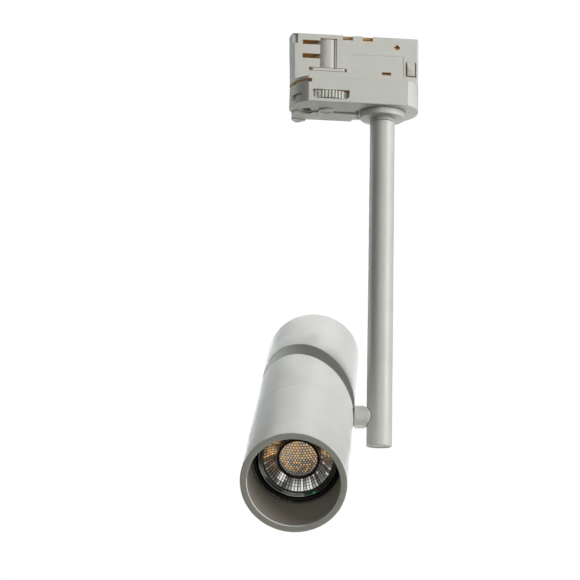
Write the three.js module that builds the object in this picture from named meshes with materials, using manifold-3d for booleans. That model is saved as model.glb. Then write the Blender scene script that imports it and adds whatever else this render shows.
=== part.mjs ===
// Track spotlight: a three-circuit track adapter, a vertical stem that pans
// under it, and a cylindrical head that tilts on a side pivot of the stem.
// Millimetres, +Z up, +X along the track to the right, -Y to the front. The origin
// is the centre of the adapter's top face, which lies against the inside of the track.
import * as THREE from 'three';
import { mergeVertices } from 'three/addons/utils/BufferGeometryUtils.js';
import Module from 'manifold-3d';

// ---------------------------------------------------------------- dimensions
// Heights of adapter and stem are measured from a layout plane TOP below the origin.
const TOP = 3.0;
const BODY_HALF = 9.7;         // half width of the insert that goes into the track
const BODY_WALL = 1.8;
const BASE_TOP = -30.05;       // base plate of the insert, inside the cover's rim
const BASE_BOTTOM = -31.8;
const COVER_HALF = 19.35;      // half width of the cover below the track
const COVER_STRAIGHT = 33.5;   // half length of the cover's straight sides
const COVER_BULGE_LEFT = 11.0; // how far the ends bow out
const COVER_BULGE_RIGHT = 9.8;
const COVER_TOP = -30.2;
const COVER_BOTTOM = -47.3;
const COVER_WALL = 1.6;
const COVER_INSIDE = COVER_BOTTOM + 1.9;        // inner face of the cover's floor
const COVER_SCREWS = [[33.0, 12.0], [5.5, 12.5]]; // x, y
const LOCK_X = -19.6;          // lock shaft axis
const CAM_R = 14.1;
const BLADE_R = 16.0;          // contact blade tips
const DRUM_R = 9.5;
const DRUM_Z = [-20.5, -0.2];
const WHEEL_R = 20.2;          // phase selector wheel
const STEM_X = 19.1;           // stem axis
const PAN_REST = -9.73;        // degrees
const FLANGE_R = 15.3;
const FLANGE_TOP = -47.55;
const FLANGE_BOTTOM = -52.0;
const ROD_R = 8.4;             // stem tube
const ROD_BORE = 6.9;
const ROD_TOP = -54.6;
const ROD_BOTTOM = -274.7;
const PIVOT_Z = -255.2;        // tilt axis height
const PIVOT_BORE = 5.1;        // clearance radius round the pivot tube
const HEAD_X = -49.14;         // head axis, from the stem axis
const TILT_REST = 29.58;       // degrees, head axis below the horizontal
const HEAD_R = 32.5;
const HEAD_FRONT = 109.7;      // places along the head axis, ahead of the tilt axis
const SEAM = 25.6;             // joint between head body and front barrel
const HEAD_REAR = -116.4;
const GROOVE_FRONT = -16.76;   // oblique groove, its two planes on the axis
const GROOVE_REAR = -36.85;
const GROOVE_SLOPE_X = 0.5686;
const GROOVE_SLOPE_Y = -0.3889;
const OPENING_R = 28.2;
const NECK_R = 24.5;
const NECK_INNER = 21.4;
const NECK_Z = [-62.0, 17.3];
const LAMP_FRONT = 74.0;
const LAMP_R = 25.0;
const PIN_OFFSET = 5;          // lamp pins, from the head axis
const FINENESS = 0.6;          // facets per turn, as a share of the full count
const DEG = Math.PI / 180;
const PAIR = [['a', 1], ['b', -1]];

// ------------------------------------------------------------------- solids
const wasm = await Module();
wasm.setup();

// Closed manifold solid from a three.js geometry, turned outward if inside out.
function solid(source) {
  for (const key of Object.keys(source.attributes)) {
    if (key !== 'position') source.deleteAttribute(key);
  }
  const geometry = mergeVertices(source, 1e-4);
  const position = geometry.attributes.position;
  const index = geometry.index.array;
  const corners = [0, 1, 2].map(() => new THREE.Vector3());
  const triangles = [];
  let volume = 0;
  for (let i = 0; i < index.length; i += 3) {
    const [a, b, c] = index.slice(i, i + 3);
    if (a === b || b === c || a === c) continue;
    triangles.push(a, b, c);
    [a, b, c].forEach((vertex, k) => corners[k].fromBufferAttribute(position, vertex));
    volume += corners[0].dot(corners[1].cross(corners[2]));
  }
  if (volume < 0) triangles.reverse();
  return new wasm.Manifold(new wasm.Mesh({
    numProp: 3,
    vertProperties: new Float32Array(position.array),
    triVerts: new Uint32Array(triangles),
  }));
}

const union = (...solids) => solids.reduce((a, b) => a.add(b));
const cut = (body, ...tools) => tools.reduce((a, b) => a.subtract(b), body);
const largest = (body) => body.decompose().sort((a, b) => b.volume() - a.volume())[0];
const middle = ([low, high]) => (low + high) / 2;
const span = ([low, high]) => high - low;

// Ranges are [low, high] pairs.
const box = (xs, ys, zs) => solid(new THREE.BoxGeometry(span(xs), span(ys), span(zs))
  .translate(middle(xs), middle(ys), middle(zs)));

const coarse = (facets) => Math.max(8, Math.round(facets * FINENESS));
const rod = (radius, range, facets) =>
  new THREE.CylinderGeometry(radius, radius, span(range), coarse(facets));
const rodX = (radius, xs, facets = 32, y = 0, z = 0) =>
  solid(rod(radius, xs, facets).rotateZ(-Math.PI / 2).translate(middle(xs), y, z));
const rodY = (radius, ys, facets = 32, x = 0, z = 0) =>
  solid(rod(radius, ys, facets).translate(x, middle(ys), z));
const rodZ = (radius, zs, facets = 32, x = 0, y = 0) =>
  solid(rod(radius, zs, facets).rotateX(Math.PI / 2).translate(x, y, middle(zs)));

// Turned about Z: profile points are [radius, height].
function turned(profile, facets = 48) {
  const points = profile.map(([radius, z]) => new THREE.Vector2(radius, z));
  return solid(new THREE.LatheGeometry(points, coarse(facets)).rotateX(Math.PI / 2));
}
const turnedRing = (profile, facets) => turned([...profile, profile[0]], facets);
const tube = (inner, outer, [low, high], facets) =>
  turnedRing([[inner, low], [outer, low], [outer, high], [inner, high]], facets);

const outline = (points) => new THREE.Shape(points.map(([x, y]) => new THREE.Vector2(x, y)));
const extruded = (points, depth) =>
  new THREE.ExtrudeGeometry(outline(points), { depth, bevelEnabled: false });
const prism = (points, zs) => solid(extruded(points, span(zs)).translate(0, 0, zs[0]));
// Outline of [x, z] points, cut along Y.
const prismY = (points, ys) =>
  solid(extruded(points, span(ys)).rotateX(Math.PI / 2).translate(0, ys[1], 0));

// Points on an arc, angles in degrees.
function arc(centreX, centreY, radius, from, to, steps) {
  return Array.from({ length: steps + 1 }, (_, i) => {
    const angle = (from + ((to - from) * i) / steps) * DEG;
    return [centreX + radius * Math.cos(angle), centreY + radius * Math.sin(angle)];
  });
}
const polygon = (radius, sides) => arc(0, 0, radius, 0, 360 - 360 / sides, sides - 1);

function wire(points, radius, sides = 6, steps = 7) {
  const extrudePath = new THREE.CatmullRomCurve3(points.map((p) => new THREE.Vector3(...p)));
  return solid(new THREE.ExtrudeGeometry(
    outline(polygon(radius, sides)), { steps, bevelEnabled: false, extrudePath }));
}

// Plan of the cover, set in all round: straight sides with bowed, creased ends.
function coverPlan(inset, steps = 14) {
  const endArc = (bulge, side) => {
    const radius = (COVER_HALF * COVER_HALF + bulge * bulge) / (2 * bulge);
    const centre = COVER_STRAIGHT + bulge - radius;
    const half = Math.asin((COVER_HALF - inset) / (radius - inset)) / DEG;
    const facing = side > 0 ? 0 : 180;
    return arc(side * centre, 0, radius - inset, facing - half, facing + half, steps);
  };
  return [...endArc(COVER_BULGE_RIGHT, 1), ...endArc(COVER_BULGE_LEFT, -1)];
}

// ---------------------------------------------------------------- materials
// Colours are linear red, green, blue.
const FINISHES = {
  housing: { rgb: [0.80, 0.80, 0.77], roughness: 0.55, metalness: 0.0 },
  lacquer: { rgb: [0.80, 0.80, 0.77], roughness: 0.45, metalness: 0.1 },
  black: { rgb: [0.03, 0.03, 0.03], roughness: 0.5, metalness: 0.0 },
  copper: { rgb: [0.72, 0.40, 0.20], roughness: 0.35, metalness: 1.0 },
  steel: { rgb: [0.62, 0.62, 0.60], roughness: 0.35, metalness: 1.0 },
  ceramic: { rgb: [0.86, 0.84, 0.78], roughness: 0.6, metalness: 0.0 },
  chrome: { rgb: [0.85, 0.85, 0.85], roughness: 0.1, metalness: 1.0 },
  clear: { rgb: [0.80, 0.84, 0.83], roughness: 0.08, metalness: 0.0 },
  phosphor: { rgb: [0.95, 0.68, 0.20], roughness: 0.5, metalness: 0.0 },
  cable: { rgb: [0.10, 0.10, 0.11], roughness: 0.6, metalness: 0.0 },
};

function addPiece(parent, name, body, finish) {
  const { vertProperties, triVerts } = body.getMesh();
  const geometry = new THREE.BufferGeometry();
  geometry.setAttribute(
    'position', new THREE.BufferAttribute(new Float32Array(vertProperties), 3));
  geometry.setIndex(new THREE.BufferAttribute(new Uint32Array(triVerts), 1));
  geometry.computeVertexNormals();
  const { rgb, roughness, metalness } = FINISHES[finish];
  const color = new THREE.Color(...rgb);
  const material = new THREE.MeshStandardMaterial({ color, roughness, metalness });
  const mesh = new THREE.Mesh(geometry, material);
  mesh.name = name;
  parent.add(mesh);
}

// Slotted screw along Z; its shank runs from the head to the tip, above or below.
function addScrew(parent, name, { shankR, headR, headZ, tip, x, y, slotDepth = 0.7 }) {
  const [low, high] = headZ;
  const below = tip < low;
  const shankZ = below ? [tip, low + 0.2] : [high - 0.2, tip];
  const slotZ = below ? [high - slotDepth, high + 1] : [low - 1, low + slotDepth];
  const blank = union(rodZ(headR, headZ, 16, x, y), rodZ(shankR, shankZ, 12, x, y));
  const slot = box([x - headR - 1, x + headR + 1], [y - 0.35, y + 0.35], slotZ);
  addPiece(parent, name, cut(blank, slot), 'steel');
}

const spotlight = new THREE.Group();

// ================================================================== adapter
const adapter = new THREE.Group();
adapter.position.set(0, 0, -TOP);
spotlight.add(adapter);

// The back openings are the front ones given a half turn about the lock shaft.
const acrossLock = (x) => 2 * LOCK_X - x;

// ---- insert that goes into the track, with its base plate on the cover
function bodyShell() {
  const left = -COVER_STRAIGHT - COVER_BULGE_LEFT;
  const right = COVER_STRAIGHT + COVER_BULGE_RIGHT;
  // x, z: rounded upper corners seen from the side
  const side = prismY([
    [left - 2, -33], [right + 1, -33], [right + 1, TOP - 6], [right - 0.1, TOP - 6],
    ...arc(right - 1.9, TOP - 1.8, 1.8, 0, 90, 4),
    ...arc(left + 0.3, TOP - 1.2, 1.2, 90, 180, 4),
    [left - 0.9, TOP - 6], [left - 2, TOP - 6],
  ], [-25, 25]);
  // the left end leans out a little towards the top
  const plan = prism(coverPlan(0.1), [BASE_TOP, TOP]).warp((v) => {
    const beyond = -COVER_STRAIGHT - v[0];
    if (v[2] > 0 && beyond > 0) v[0] -= Math.min(1, beyond / 8);
  });
  const insert = plan.intersect(box([-60, 60], [-BODY_HALF, BODY_HALF], [-40, 10]))
    .intersect(side);
  const base = prism(coverPlan(COVER_WALL + 0.15), [BASE_BOTTOM, BASE_TOP + 0.05]);
  // bowed rim at the left end, flush with the cover
  const rim = prism(coverPlan(0.05), [BASE_BOTTOM, -29.75])
    .intersect(box([-60, -31.7], [-30, 30], [-40, 0]));
  const inside = BODY_HALF - BODY_WALL;
  const cavity = prism(coverPlan(BODY_WALL + 0.1), [-40, TOP - BODY_WALL])
    .intersect(box([-60, 60], [-inside, inside], [-50, 10]));
  return cut(union(insert, base, rim), cavity);
}

function bodyOpenings() {
  const frontWall = [-BODY_HALF - 1.3, -BODY_HALF + BODY_WALL + 0.3];
  const backWall = [BODY_HALF - BODY_WALL - 0.3, BODY_HALF + 1.3];
  const contactX = [-37.1, -24.8];
  const drum = [[-24.9, -13.85], [-20.7, 0.1]];
  const cam = [[-32.5, -6.9], [-23.1, -20.6]];
  // x range, z range; the back ones are given before their half turn
  const front = [[contactX, [-4.6, -1.6]], [contactX, [-14.4, -11.1]], drum, cam];
  const back = [[contactX, [-9.4, -6.3]], [contactX, [-18.9, -15.9]], drum, cam];
  const notches = [frontWall, backWall].flatMap((wall) =>
    [[-9.9, -3.1], [3.7, 10.6]].map((xs) => box(xs, wall, [-0.45, 5])));
  const labelX = [-9.4, 32.0];
  const labelZ = [-25.8, -10.1];
  const labelFace = BODY_HALF - 0.25;
  return [
    ...front.map(([xs, zs]) => box(xs, frontWall, zs)),
    ...back.map(([[x0, x1], zs]) => box([acrossLock(x1), acrossLock(x0)], backWall, zs)),
    // round relief for the drum's ribs
    rodZ(11.2, [-20.7, 0.1], 72, LOCK_X),
    // notches in the upper edges
    ...notches,
    // coding notch at the left end
    box([-50, -40.4], [-12, -8.2], [-4.2, 2.3]),
    // diamond hole and small inspection slot
    box([-1.55, 1.55], [-2, 2], [-1.55, 1.55]).rotate([0, 45, 0]).translate([27.2, -9.0, -3.9]),
    box([17.0, 23.2], frontWall, [-23.8, -21.7]),
    // shallow label field on both sides
    box(labelX, [-20, -labelFace], labelZ),
    box(labelX, [labelFace, 20], labelZ),
    // window of the spring latch
    box([33.2, 40.5], frontWall, [-24.2, -13.9]),
  ];
}

function adapterBody() {
  let body = bodyShell();
  // pillars for the cover screws
  for (const [x, y] of COVER_SCREWS) {
    body = body.add(rodZ(3.2, [-43.8, BASE_TOP], 20, x, y));
    body = body.subtract(rodZ(1.6, [-60, BASE_BOTTOM - 0.6], 16, x, y));
  }
  // curved plate behind the small window of the cover's left end
  const plate = cut(prism(coverPlan(1.85), [-44.6, BASE_TOP]), prism(coverPlan(3.0), [-50, 0]))
    .intersect(box([-60, -34], [-16.6, -6.6], [-60, 0]));
  return largest(cut(body.add(plate), ...bodyOpenings()));
}
addPiece(adapter, 'adapter_body', adapterBody(), 'housing');

// ---- cover below the track
function adapterCover() {
  // x, z: finger window of the selector wheel, with clipped lower corners
  const fingerWindow = [
    [-30.6, -38.9], [-30.6, -43.4], [-28.8, -45.2], [-7.9, -45.2], [-6.1, -43.4], [-6.1, -38.9],
  ];
  const backWindow = fingerWindow.map(([x, z]) => [acrossLock(x), z]);
  const floorHole = [-50, -40];
  let cover = cut(prism(coverPlan(0), [COVER_BOTTOM, COVER_TOP]),
    prism(coverPlan(COVER_WALL), [COVER_INSIDE, COVER_TOP + 5]),
    // left end wall is lower, leaving a gap under the body's rim
    box([-60, -31.5], [-30, 30], [-34.1, -20]),
    prismY(fingerWindow, [-22, -10]),
    prismY(backWindow, [10, 22]),
    // room for the selector wheel
    rodZ(WHEEL_R + 0.4, [COVER_INSIDE, COVER_TOP - 4], 72, LOCK_X)
      .intersect(box([-60, 20], [-18.4, 18.4], [-60, 0])),
    // lock shaft and stem holes, and the round window over the wheel's phase marks
    rodZ(3.8, floorHole, 32, LOCK_X),
    rodZ(5.4, floorHole, 32, STEM_X),
    rodZ(3.8, floorHole, 32, -32.8, 1.6),
    // small window in the left end wall
    box([-50, -36.5], [-16.1, -7.1], [-44.7, -40.9]));
  // pan stop and screw bosses
  cover = cover.add(box([0.8, 3.2], [-0.2, 3.2], [-50.1, COVER_BOTTOM + 0.1]));
  for (const [x, y] of COVER_SCREWS) {
    cover = cut(cover.add(rodZ(3.6, [COVER_BOTTOM + 0.5, -44.2], 20, x, y)),
      rodZ(1.7, [-60, -40], 16, x, y), rodZ(2.8, [-50, -45.5], 20, x, y));
  }
  return largest(cover);
}
addPiece(adapter, 'adapter_cover', adapterCover(), 'housing');

// ---- cover screws, up into the body's pillars
COVER_SCREWS.forEach(([x, y], i) => addScrew(adapter, `cover_screw_${i + 1}`,
  { shankR: 1.3, headR: 2.4, headZ: [-47.0, -45.8], tip: -34.0, x, y, slotDepth: 0.6 }));

// ---- conductors and terminal inside the body
const STRIPS = [ // name, x, y and z ranges
  ['upper', [-8.6, 30.0], [-7.0, -6.3], [-6.2, 0.9]],
  ['lower', [13.0, 30.0], [-7.0, -6.3], [-26.0, -20.4]],
  ['rear', [-3.0, 30.0], [6.3, 7.0], [-6.2, 0.9]],
];
for (const [name, ...ranges] of STRIPS) {
  addPiece(adapter, `copper_strip_${name}`, box(...ranges), 'copper');
}

const TERMINAL_PITCH = 8.6;
const TERMINAL_SCREW_Z = -13.5;
const TERMINALS = [-1, 0, 1].map((i) => STEM_X + i * TERMINAL_PITCH);
addPiece(adapter, 'terminal_block', cut(box([5.0, 33.0], [-5.5, 5.5], [-17.0, -5.0]),
  ...TERMINALS.map((x) => rodZ(1.9, [-20, -9], 16, x)),
  ...TERMINALS.map((x) => rodY(1.6, [-6.5, -1.0], 16, x, TERMINAL_SCREW_Z))), 'ceramic');
TERMINALS.forEach((x, i) => {
  const slot = box([x - 1.4, x + 1.4], [-6.4, -5.6],
    [TERMINAL_SCREW_Z - 0.25, TERMINAL_SCREW_Z + 0.25]);
  const screw = cut(rodY(1.3, [-6.1, -2.3], 12, x, TERMINAL_SCREW_Z), slot);
  addPiece(adapter, `terminal_screw_${i + 1}`, screw, 'steel');
});

// The outer leads run in from both sides towards the stem axis.
function outerLead(side) {
  const x = STEM_X + side * TERMINAL_PITCH;
  return wire([[x, 0, -10.5], [x, 0, -20],
    [STEM_X + side * 4.6, 0.4, -27], [STEM_X + side * 1.7, 0.4, -36.0]], 1.1);
}
addPiece(adapter, 'lead_line', outerLead(-1), 'copper');
addPiece(adapter, 'lead_neutral', outerLead(1), 'cable');
addPiece(adapter, 'lead_earth', wire([
  [STEM_X, 0, -10.5], [STEM_X, 0, -18], [STEM_X, -1.2, -27], [STEM_X, -2.2, -36.0]], 1.1), 'cable');

// ---- lock: lever, shaft with contact drum, blades and cam turn together
const lock = new THREE.Group();
lock.position.set(LOCK_X, 0, 0);
adapter.add(lock);
const BLADES = [ // name, height, direction in degrees
  ['a', -3.1, 180], ['b', -12.75, 180], ['c', -7.85, 0], ['d', -17.4, 0],
];

function contactDrum() {
  const slots = BLADES.map(([, z, angle]) =>
    box([4.2, 20], [-3.2, 3.2], [z - 0.95, z + 0.95]).rotate([0, 0, angle]));
  const drum = cut(union(rodZ(DRUM_R, DRUM_Z, 64), rodZ(3.4, [-48.3, DRUM_Z[0]], 24)), ...slots);
  // upright ribs beside the openings, front and back
  return union(drum, box([4.6, 5.3], [-9.5, -6.0], DRUM_Z), box([-5.3, -4.6], [6.0, 9.5], DRUM_Z));
}
addPiece(lock, 'contact_drum', contactDrum(), 'housing');

// x, y: flat blade with a rounded tip
const BLADE_OUTLINE = [
  [4.6, -2.6], [13.4, -2.6], [BLADE_R - 0.4, -1.2], [BLADE_R - 0.05, 0],
  [BLADE_R - 0.4, 1.2], [13.4, 2.6], [4.6, 2.6],
];
for (const [name, z, angle] of BLADES) {
  const blade = prism(BLADE_OUTLINE, [z - 0.55, z + 0.55]).rotate([0, 0, angle]);
  addPiece(lock, `contact_blade_${name}`, blade, 'copper');
}

addPiece(lock, 'locking_cam', cut(
  rodZ(CAM_R, [-22.8, -20.8], 56).intersect(box([-22, 22], [-9.5, 9.5], [-30, -20])),
  rodZ(3.7, [-30, -20], 24)), 'lacquer');

// Lever under the cover: both arms lie along the back side, thumb tab at the left.
function lockLever() {
  const plate = [-48.6, -47.55];
  const endCurve = coverPlan(0.15, 20).map(([x, y]) => [x - LOCK_X, y])
    .filter(([x, y]) => x < -14.0 && y > 9.0 && y < 19.1);
  const arm = prism([[19.9, 3.0], [19.9, 19.2], [-13.8, 19.2], ...endCurve, [-20.6, 3.0]], plate);
  const tab = prism([
    [-22.0, 11.6], [-21.3, 19.6], [-18.6, 24.6], [-15.9, 25.0], [-11.0, 18.6], [-14.4, 12.0],
  ], plate);
  const tabRidge = prism([
    [-21.6, 16.6], [-21.2, 19.9], [-18.6, 24.6], [-15.9, 25.0], [-11.3, 19.7], [-12.4, 19.5],
  ], [-49.4, -48.5]);
  const hub = rodZ(5.2, plate, 32);
  const bridge = box([-4.6, 4.6], [0, 6], plate);
  return largest(cut(union(arm, tab.add(tabRidge), hub, bridge),
    rodZ(3.6, [-52, -40], 24), rodZ(5.0, [-52, -40], 32, -13.2, 1.6)));
}
addPiece(lock, 'lock_lever', lockLever(), 'housing');

// ---- phase selector wheel on the lock shaft
function selectorWheel() {
  const teeth = 54;
  const root = WHEEL_R - 0.8;
  // share of the tooth pitch, radius
  const tooth = [[0.08, root], [0.26, WHEEL_R], [0.74, WHEEL_R], [0.92, root]];
  const rim = Array.from({ length: teeth }, (_, i) => tooth.map(([share, radius]) => {
    const angle = (i + share) * (360 / teeth) * DEG;
    return [radius * Math.cos(angle), radius * Math.sin(angle)];
  })).flat();
  return cut(prism(rim, [-44.6, -39.4]), rodZ(3.8, [-60, -20], 24));
}
const selector = new THREE.Group();
selector.position.set(LOCK_X, 0, 0);
adapter.add(selector);
addPiece(selector, 'selector_wheel', selectorWheel(), 'housing');

// ---- spring latch in the body's front side, with a sloped tooth
addPiece(adapter, 'spring_latch', union(
  box([34.2, 39.5], [-BODY_HALF, -BODY_HALF + 1.5], [-23.2, -14.1]),
  prismY([[34.2, -17.4], [39.5, -22.6], [39.5, -23.2], [34.2, -23.2]],
    [-BODY_HALF - 1.0, -BODY_HALF + 0.1])), 'housing');

// ===================================================================== stem
const stem = new THREE.Group();
stem.position.set(STEM_X, 0, -TOP);
stem.rotation.z = PAN_REST * DEG;
spotlight.add(stem);

// ---- flange and its fixing through the cover
const FLANGE_SPIGOT = FLANGE_BOTTOM - 2.4;
addPiece(stem, 'stem_flange', turnedRing([
  [5.25, FLANGE_SPIGOT], [ROD_R, FLANGE_SPIGOT], [ROD_R, FLANGE_BOTTOM],
  [FLANGE_R - 0.4, FLANGE_BOTTOM], [FLANGE_R, FLANGE_BOTTOM + 0.4],
  [FLANGE_R, FLANGE_TOP], [5.25, FLANGE_TOP]], 56), 'lacquer');
addPiece(stem, 'hollow_nipple', tube(3.6, 4.9, [-68, -37.2], 24), 'steel');
addPiece(stem, 'wave_washer', tube(5.3, 9.0, [-45.1, -44.3], 24), 'steel');
addPiece(stem, 'nipple_nut',
  cut(prism(polygon(7.6, 6), [-44.0, -39.6]), rodZ(5.2, [-60, -20], 24)), 'steel');

// ---- tube with its plug, end cap and cable
addPiece(stem, 'stem_tube', cut(turnedRing([
  [ROD_BORE, ROD_TOP], [ROD_R - 0.2, ROD_TOP], [ROD_R, ROD_TOP - 0.3],
  [ROD_R, ROD_BOTTOM + 1.3], [ROD_R - 0.4, ROD_BOTTOM + 0.4],
  [ROD_R - 1.2, ROD_BOTTOM], [ROD_BORE, ROD_BOTTOM]], 40),
rodX(PIVOT_BORE, [-12, 0], 24, 0, PIVOT_Z)), 'lacquer');
addPiece(stem, 'stem_thread_plug', tube(5.2, 6.6, [-67.5, -55.2], 24), 'steel');
addPiece(stem, 'stem_end_cap', turned([
  [0, ROD_BOTTOM + 0.5], [6.6, ROD_BOTTOM + 0.5], [6.6, ROD_BOTTOM + 7],
  [5.4, ROD_BOTTOM + 7], [5.4, ROD_BOTTOM + 2.5], [0, ROD_BOTTOM + 2.5]], 32), 'lacquer');
addPiece(stem, 'supply_cable', wire([
  [0, 0, -36.8], [0, 0, -80], [0.4, 0.3, -150], [0, 0, -225],
  [-0.6, 0, -246], [-3.4, 0, PIVOT_Z + 1.6]], 2.2, 8, 14), 'cable');

// ---- stub, hollow pivot and its nut: they stay with the stem
const collarX = (outer, bore, xs) =>
  cut(rodX(outer, xs, 24, 0, PIVOT_Z), rodX(bore, [-60, 0], 24, 0, PIVOT_Z));
addPiece(stem, 'pivot_stub', largest(cut(
  rodX(7.5, [HEAD_X + 33.0, -6], 40, 0, PIVOT_Z),
  rodZ(ROD_R + 0.3, [-290, -220], 48),
  rodX(PIVOT_BORE, [-40, 0], 24, 0, PIVOT_Z))), 'lacquer');
addPiece(stem, 'pivot_tube', collarX(4.8, 3.3, [HEAD_X + 6.5, -5.2]), 'steel');
addPiece(stem, 'pivot_spacer', collarX(6.2, PIVOT_BORE, [HEAD_X + 24.9, HEAD_X + 32.7]), 'black');
addPiece(stem, 'disc_spring', collarX(7.2, PIVOT_BORE, [HEAD_X + 12.6, HEAD_X + 13.6]), 'steel');
addPiece(stem, 'pivot_nut', cut(
  prism(polygon(7.4, 6), [0, 4.0]).rotate([0, 90, 0]).translate([HEAD_X + 8.3, 0, PIVOT_Z]),
  rodX(PIVOT_BORE, [-60, 0], 24, 0, PIVOT_Z)), 'steel');

// ===================================================================== head
// Head frame: +X towards the stem, +Y up and to the front, +Z along the beam.
const head = new THREE.Group();
{
  const tilt = TILT_REST * DEG;
  const across = new THREE.Vector3(1, 0, 0);
  const beam = new THREE.Vector3(0, -Math.cos(tilt), -Math.sin(tilt));
  const up = new THREE.Vector3().crossVectors(beam, across);
  head.quaternion.setFromRotationMatrix(new THREE.Matrix4().makeBasis(across, up, beam));
  head.position.set(HEAD_X, 0, PIVOT_Z);
}
stem.add(head);

const HEAD_FACETS = 56;
const BODY_SCREW = 13.1;       // x and y of the body screws
const BRACKET_BOSS = 19.0;     // y of the bracket screw bosses
const HOLDER_SCREW = 9.0;      // y of the lamp holder screws
// 2.5 mm wall square to the groove, measured along the axis
const GROOVE_WALL = 2.5 * Math.sqrt(1 + GROOVE_SLOPE_X ** 2 + GROOVE_SLOPE_Y ** 2);

// Everything behind the oblique groove plane that meets the axis at the given z.
function behindPlane(axisZ) {
  const geometry = new THREE.BoxGeometry(160, 160, 400);
  const position = geometry.attributes.position;
  for (let i = 0; i < position.count; i++) {
    const plane = axisZ + GROOVE_SLOPE_X * position.getX(i) + GROOVE_SLOPE_Y * position.getY(i);
    position.setZ(i, position.getZ(i) > 0 ? plane : -300);
  }
  return solid(geometry);
}
// The same hole or boss at (x, y) and at (-x, -y).
const rodPair = (radius, zs, facets, x, y) =>
  PAIR.map(([, side]) => rodZ(radius, zs, facets, side * x, side * y));
function addScrewPair(name, x, y, sizes) {
  for (const [key, side] of PAIR) {
    addScrew(head, `${name}_${key}`, { ...sizes, x: side * x, y: side * y });
  }
}

// ---- head body between the groove and the seam
function headBody() {
  const outside = cut(union(rodZ(HEAD_R, [-60, SEAM], HEAD_FACETS),
    rodZ(29.8, [SEAM - 1, 35.0], HEAD_FACETS)), behindPlane(GROOVE_FRONT));
  const hollow = cut(rodZ(28.3, [-60, 60], HEAD_FACETS), behindPlane(GROOVE_FRONT + GROOVE_WALL));
  // web that carries the neck, the sleeve and the lamp holder opening
  const web = cut(rodZ(28.6, [18.0, 20.5], HEAD_FACETS), behindPlane(GROOVE_FRONT + 1));
  return largest(cut(union(cut(outside, hollow), web),
    rodZ(15.0, [-100, 60], 40),
    rodZ(NECK_R + 0.5, [-100, 17.6], 48),
    rodX(6.7, [20, 40], 32),
    rodX(4.0, [-40, -20], 24),
    ...rodPair(1.6, [10, 30], 16, BODY_SCREW, BODY_SCREW)));
}
addPiece(head, 'head_body', headBody(), 'lacquer');

// ---- rear can, with a screw post on the axis
function rearCan() {
  const outside = turned([
    [0, HEAD_REAR], [HEAD_R - 1.4, HEAD_REAR], [HEAD_R - 0.4, HEAD_REAR + 0.4],
    [HEAD_R, HEAD_REAR + 1.4], [HEAD_R, 10], [0, 10]], HEAD_FACETS)
    .intersect(behindPlane(GROOVE_REAR));
  const hollow = rodZ(30.2, [HEAD_REAR + 2.6, 30], HEAD_FACETS)
    .intersect(behindPlane(GROOVE_REAR - GROOVE_WALL));
  return cut(outside, hollow, rodZ(NECK_R + 0.4, [-64, 60], 48))
    .add(rodZ(5.0, [HEAD_REAR + 1, -62.5], 24))
    .subtract(rodZ(1.8, [-84, -60], 16));
}
addPiece(head, 'rear_can', rearCan(), 'lacquer');

// ---- neck that joins the two, with the pivot boss and screw bosses
function neck() {
  const bossOffset = BODY_SCREW * 1.03;
  const body = union(tube(NECK_INNER, NECK_R, NECK_Z, 48),
    box([14.0, 22.6], [-8.0, 8.0], [-8.5, 8.5]),
    ...rodPair(3.4, [-10, 5.5], 16, 0, BRACKET_BOSS),
    ...rodPair(3.3, [0, NECK_Z[1]], 16, bossOffset, bossOffset),
    rodZ(21.8, [NECK_Z[0], -59.8], 48));
  return cut(body,
    rodX(PIVOT_BORE, [10, 30], 24),
    rodX(4.6, [-30, -15], 24),
    ...rodPair(1.6, [-20, 20], 12, 0, BRACKET_BOSS),
    ...rodPair(1.6, [4, 20], 12, BODY_SCREW, BODY_SCREW),
    rodZ(1.8, [-70, -50], 16),
    rodZ(3.0, [-70, -50], 16, 12));
}
addPiece(head, 'neck', neck(), 'lacquer');
addScrewPair('body_screw', BODY_SCREW, BODY_SCREW,
  { shankR: 1.3, headR: 2.5, headZ: [20.8, 22.4], tip: 6.0 });
addScrew(head, 'rear_can_screw',
  { shankR: 1.5, headR: 3.2, headZ: [-59.5, -57.3], tip: -80.0, x: 0, y: 0 });

// ---- lamp holder on its bracket
function holderBracket() {
  // corner signs in x and y, start angle
  const corners = [[1, -1, -90], [1, 1, 0], [-1, 1, 90], [-1, -1, 180]];
  const plan = corners.flatMap(([signX, signY, angle]) =>
    arc(signX * 3.5, signY * 19.5, 1.5, angle, angle + 90, 2));
  return cut(prism(plan, [5.8, 7.2]).intersect(rodZ(21.0, [0, 20], 40)),
    ...rodPair(1.6, [0, 20], 12, 0, BRACKET_BOSS - 0.5),
    rodZ(2.2, [0, 20], 16),
    ...rodPair(1.6, [0, 20], 12, 0, HOLDER_SCREW));
}
addPiece(head, 'holder_bracket', holderBracket(), 'steel');
addScrewPair('bracket_screw', 0, 18.7,
  { shankR: 1.2, headR: 1.9, headZ: [7.5, 8.9], tip: -6.0 });
addScrewPair('holder_screw', 0, HOLDER_SCREW,
  { shankR: 1.2, headR: 2.2, headZ: [3.9, 5.5], tip: 15.0 });

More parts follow.
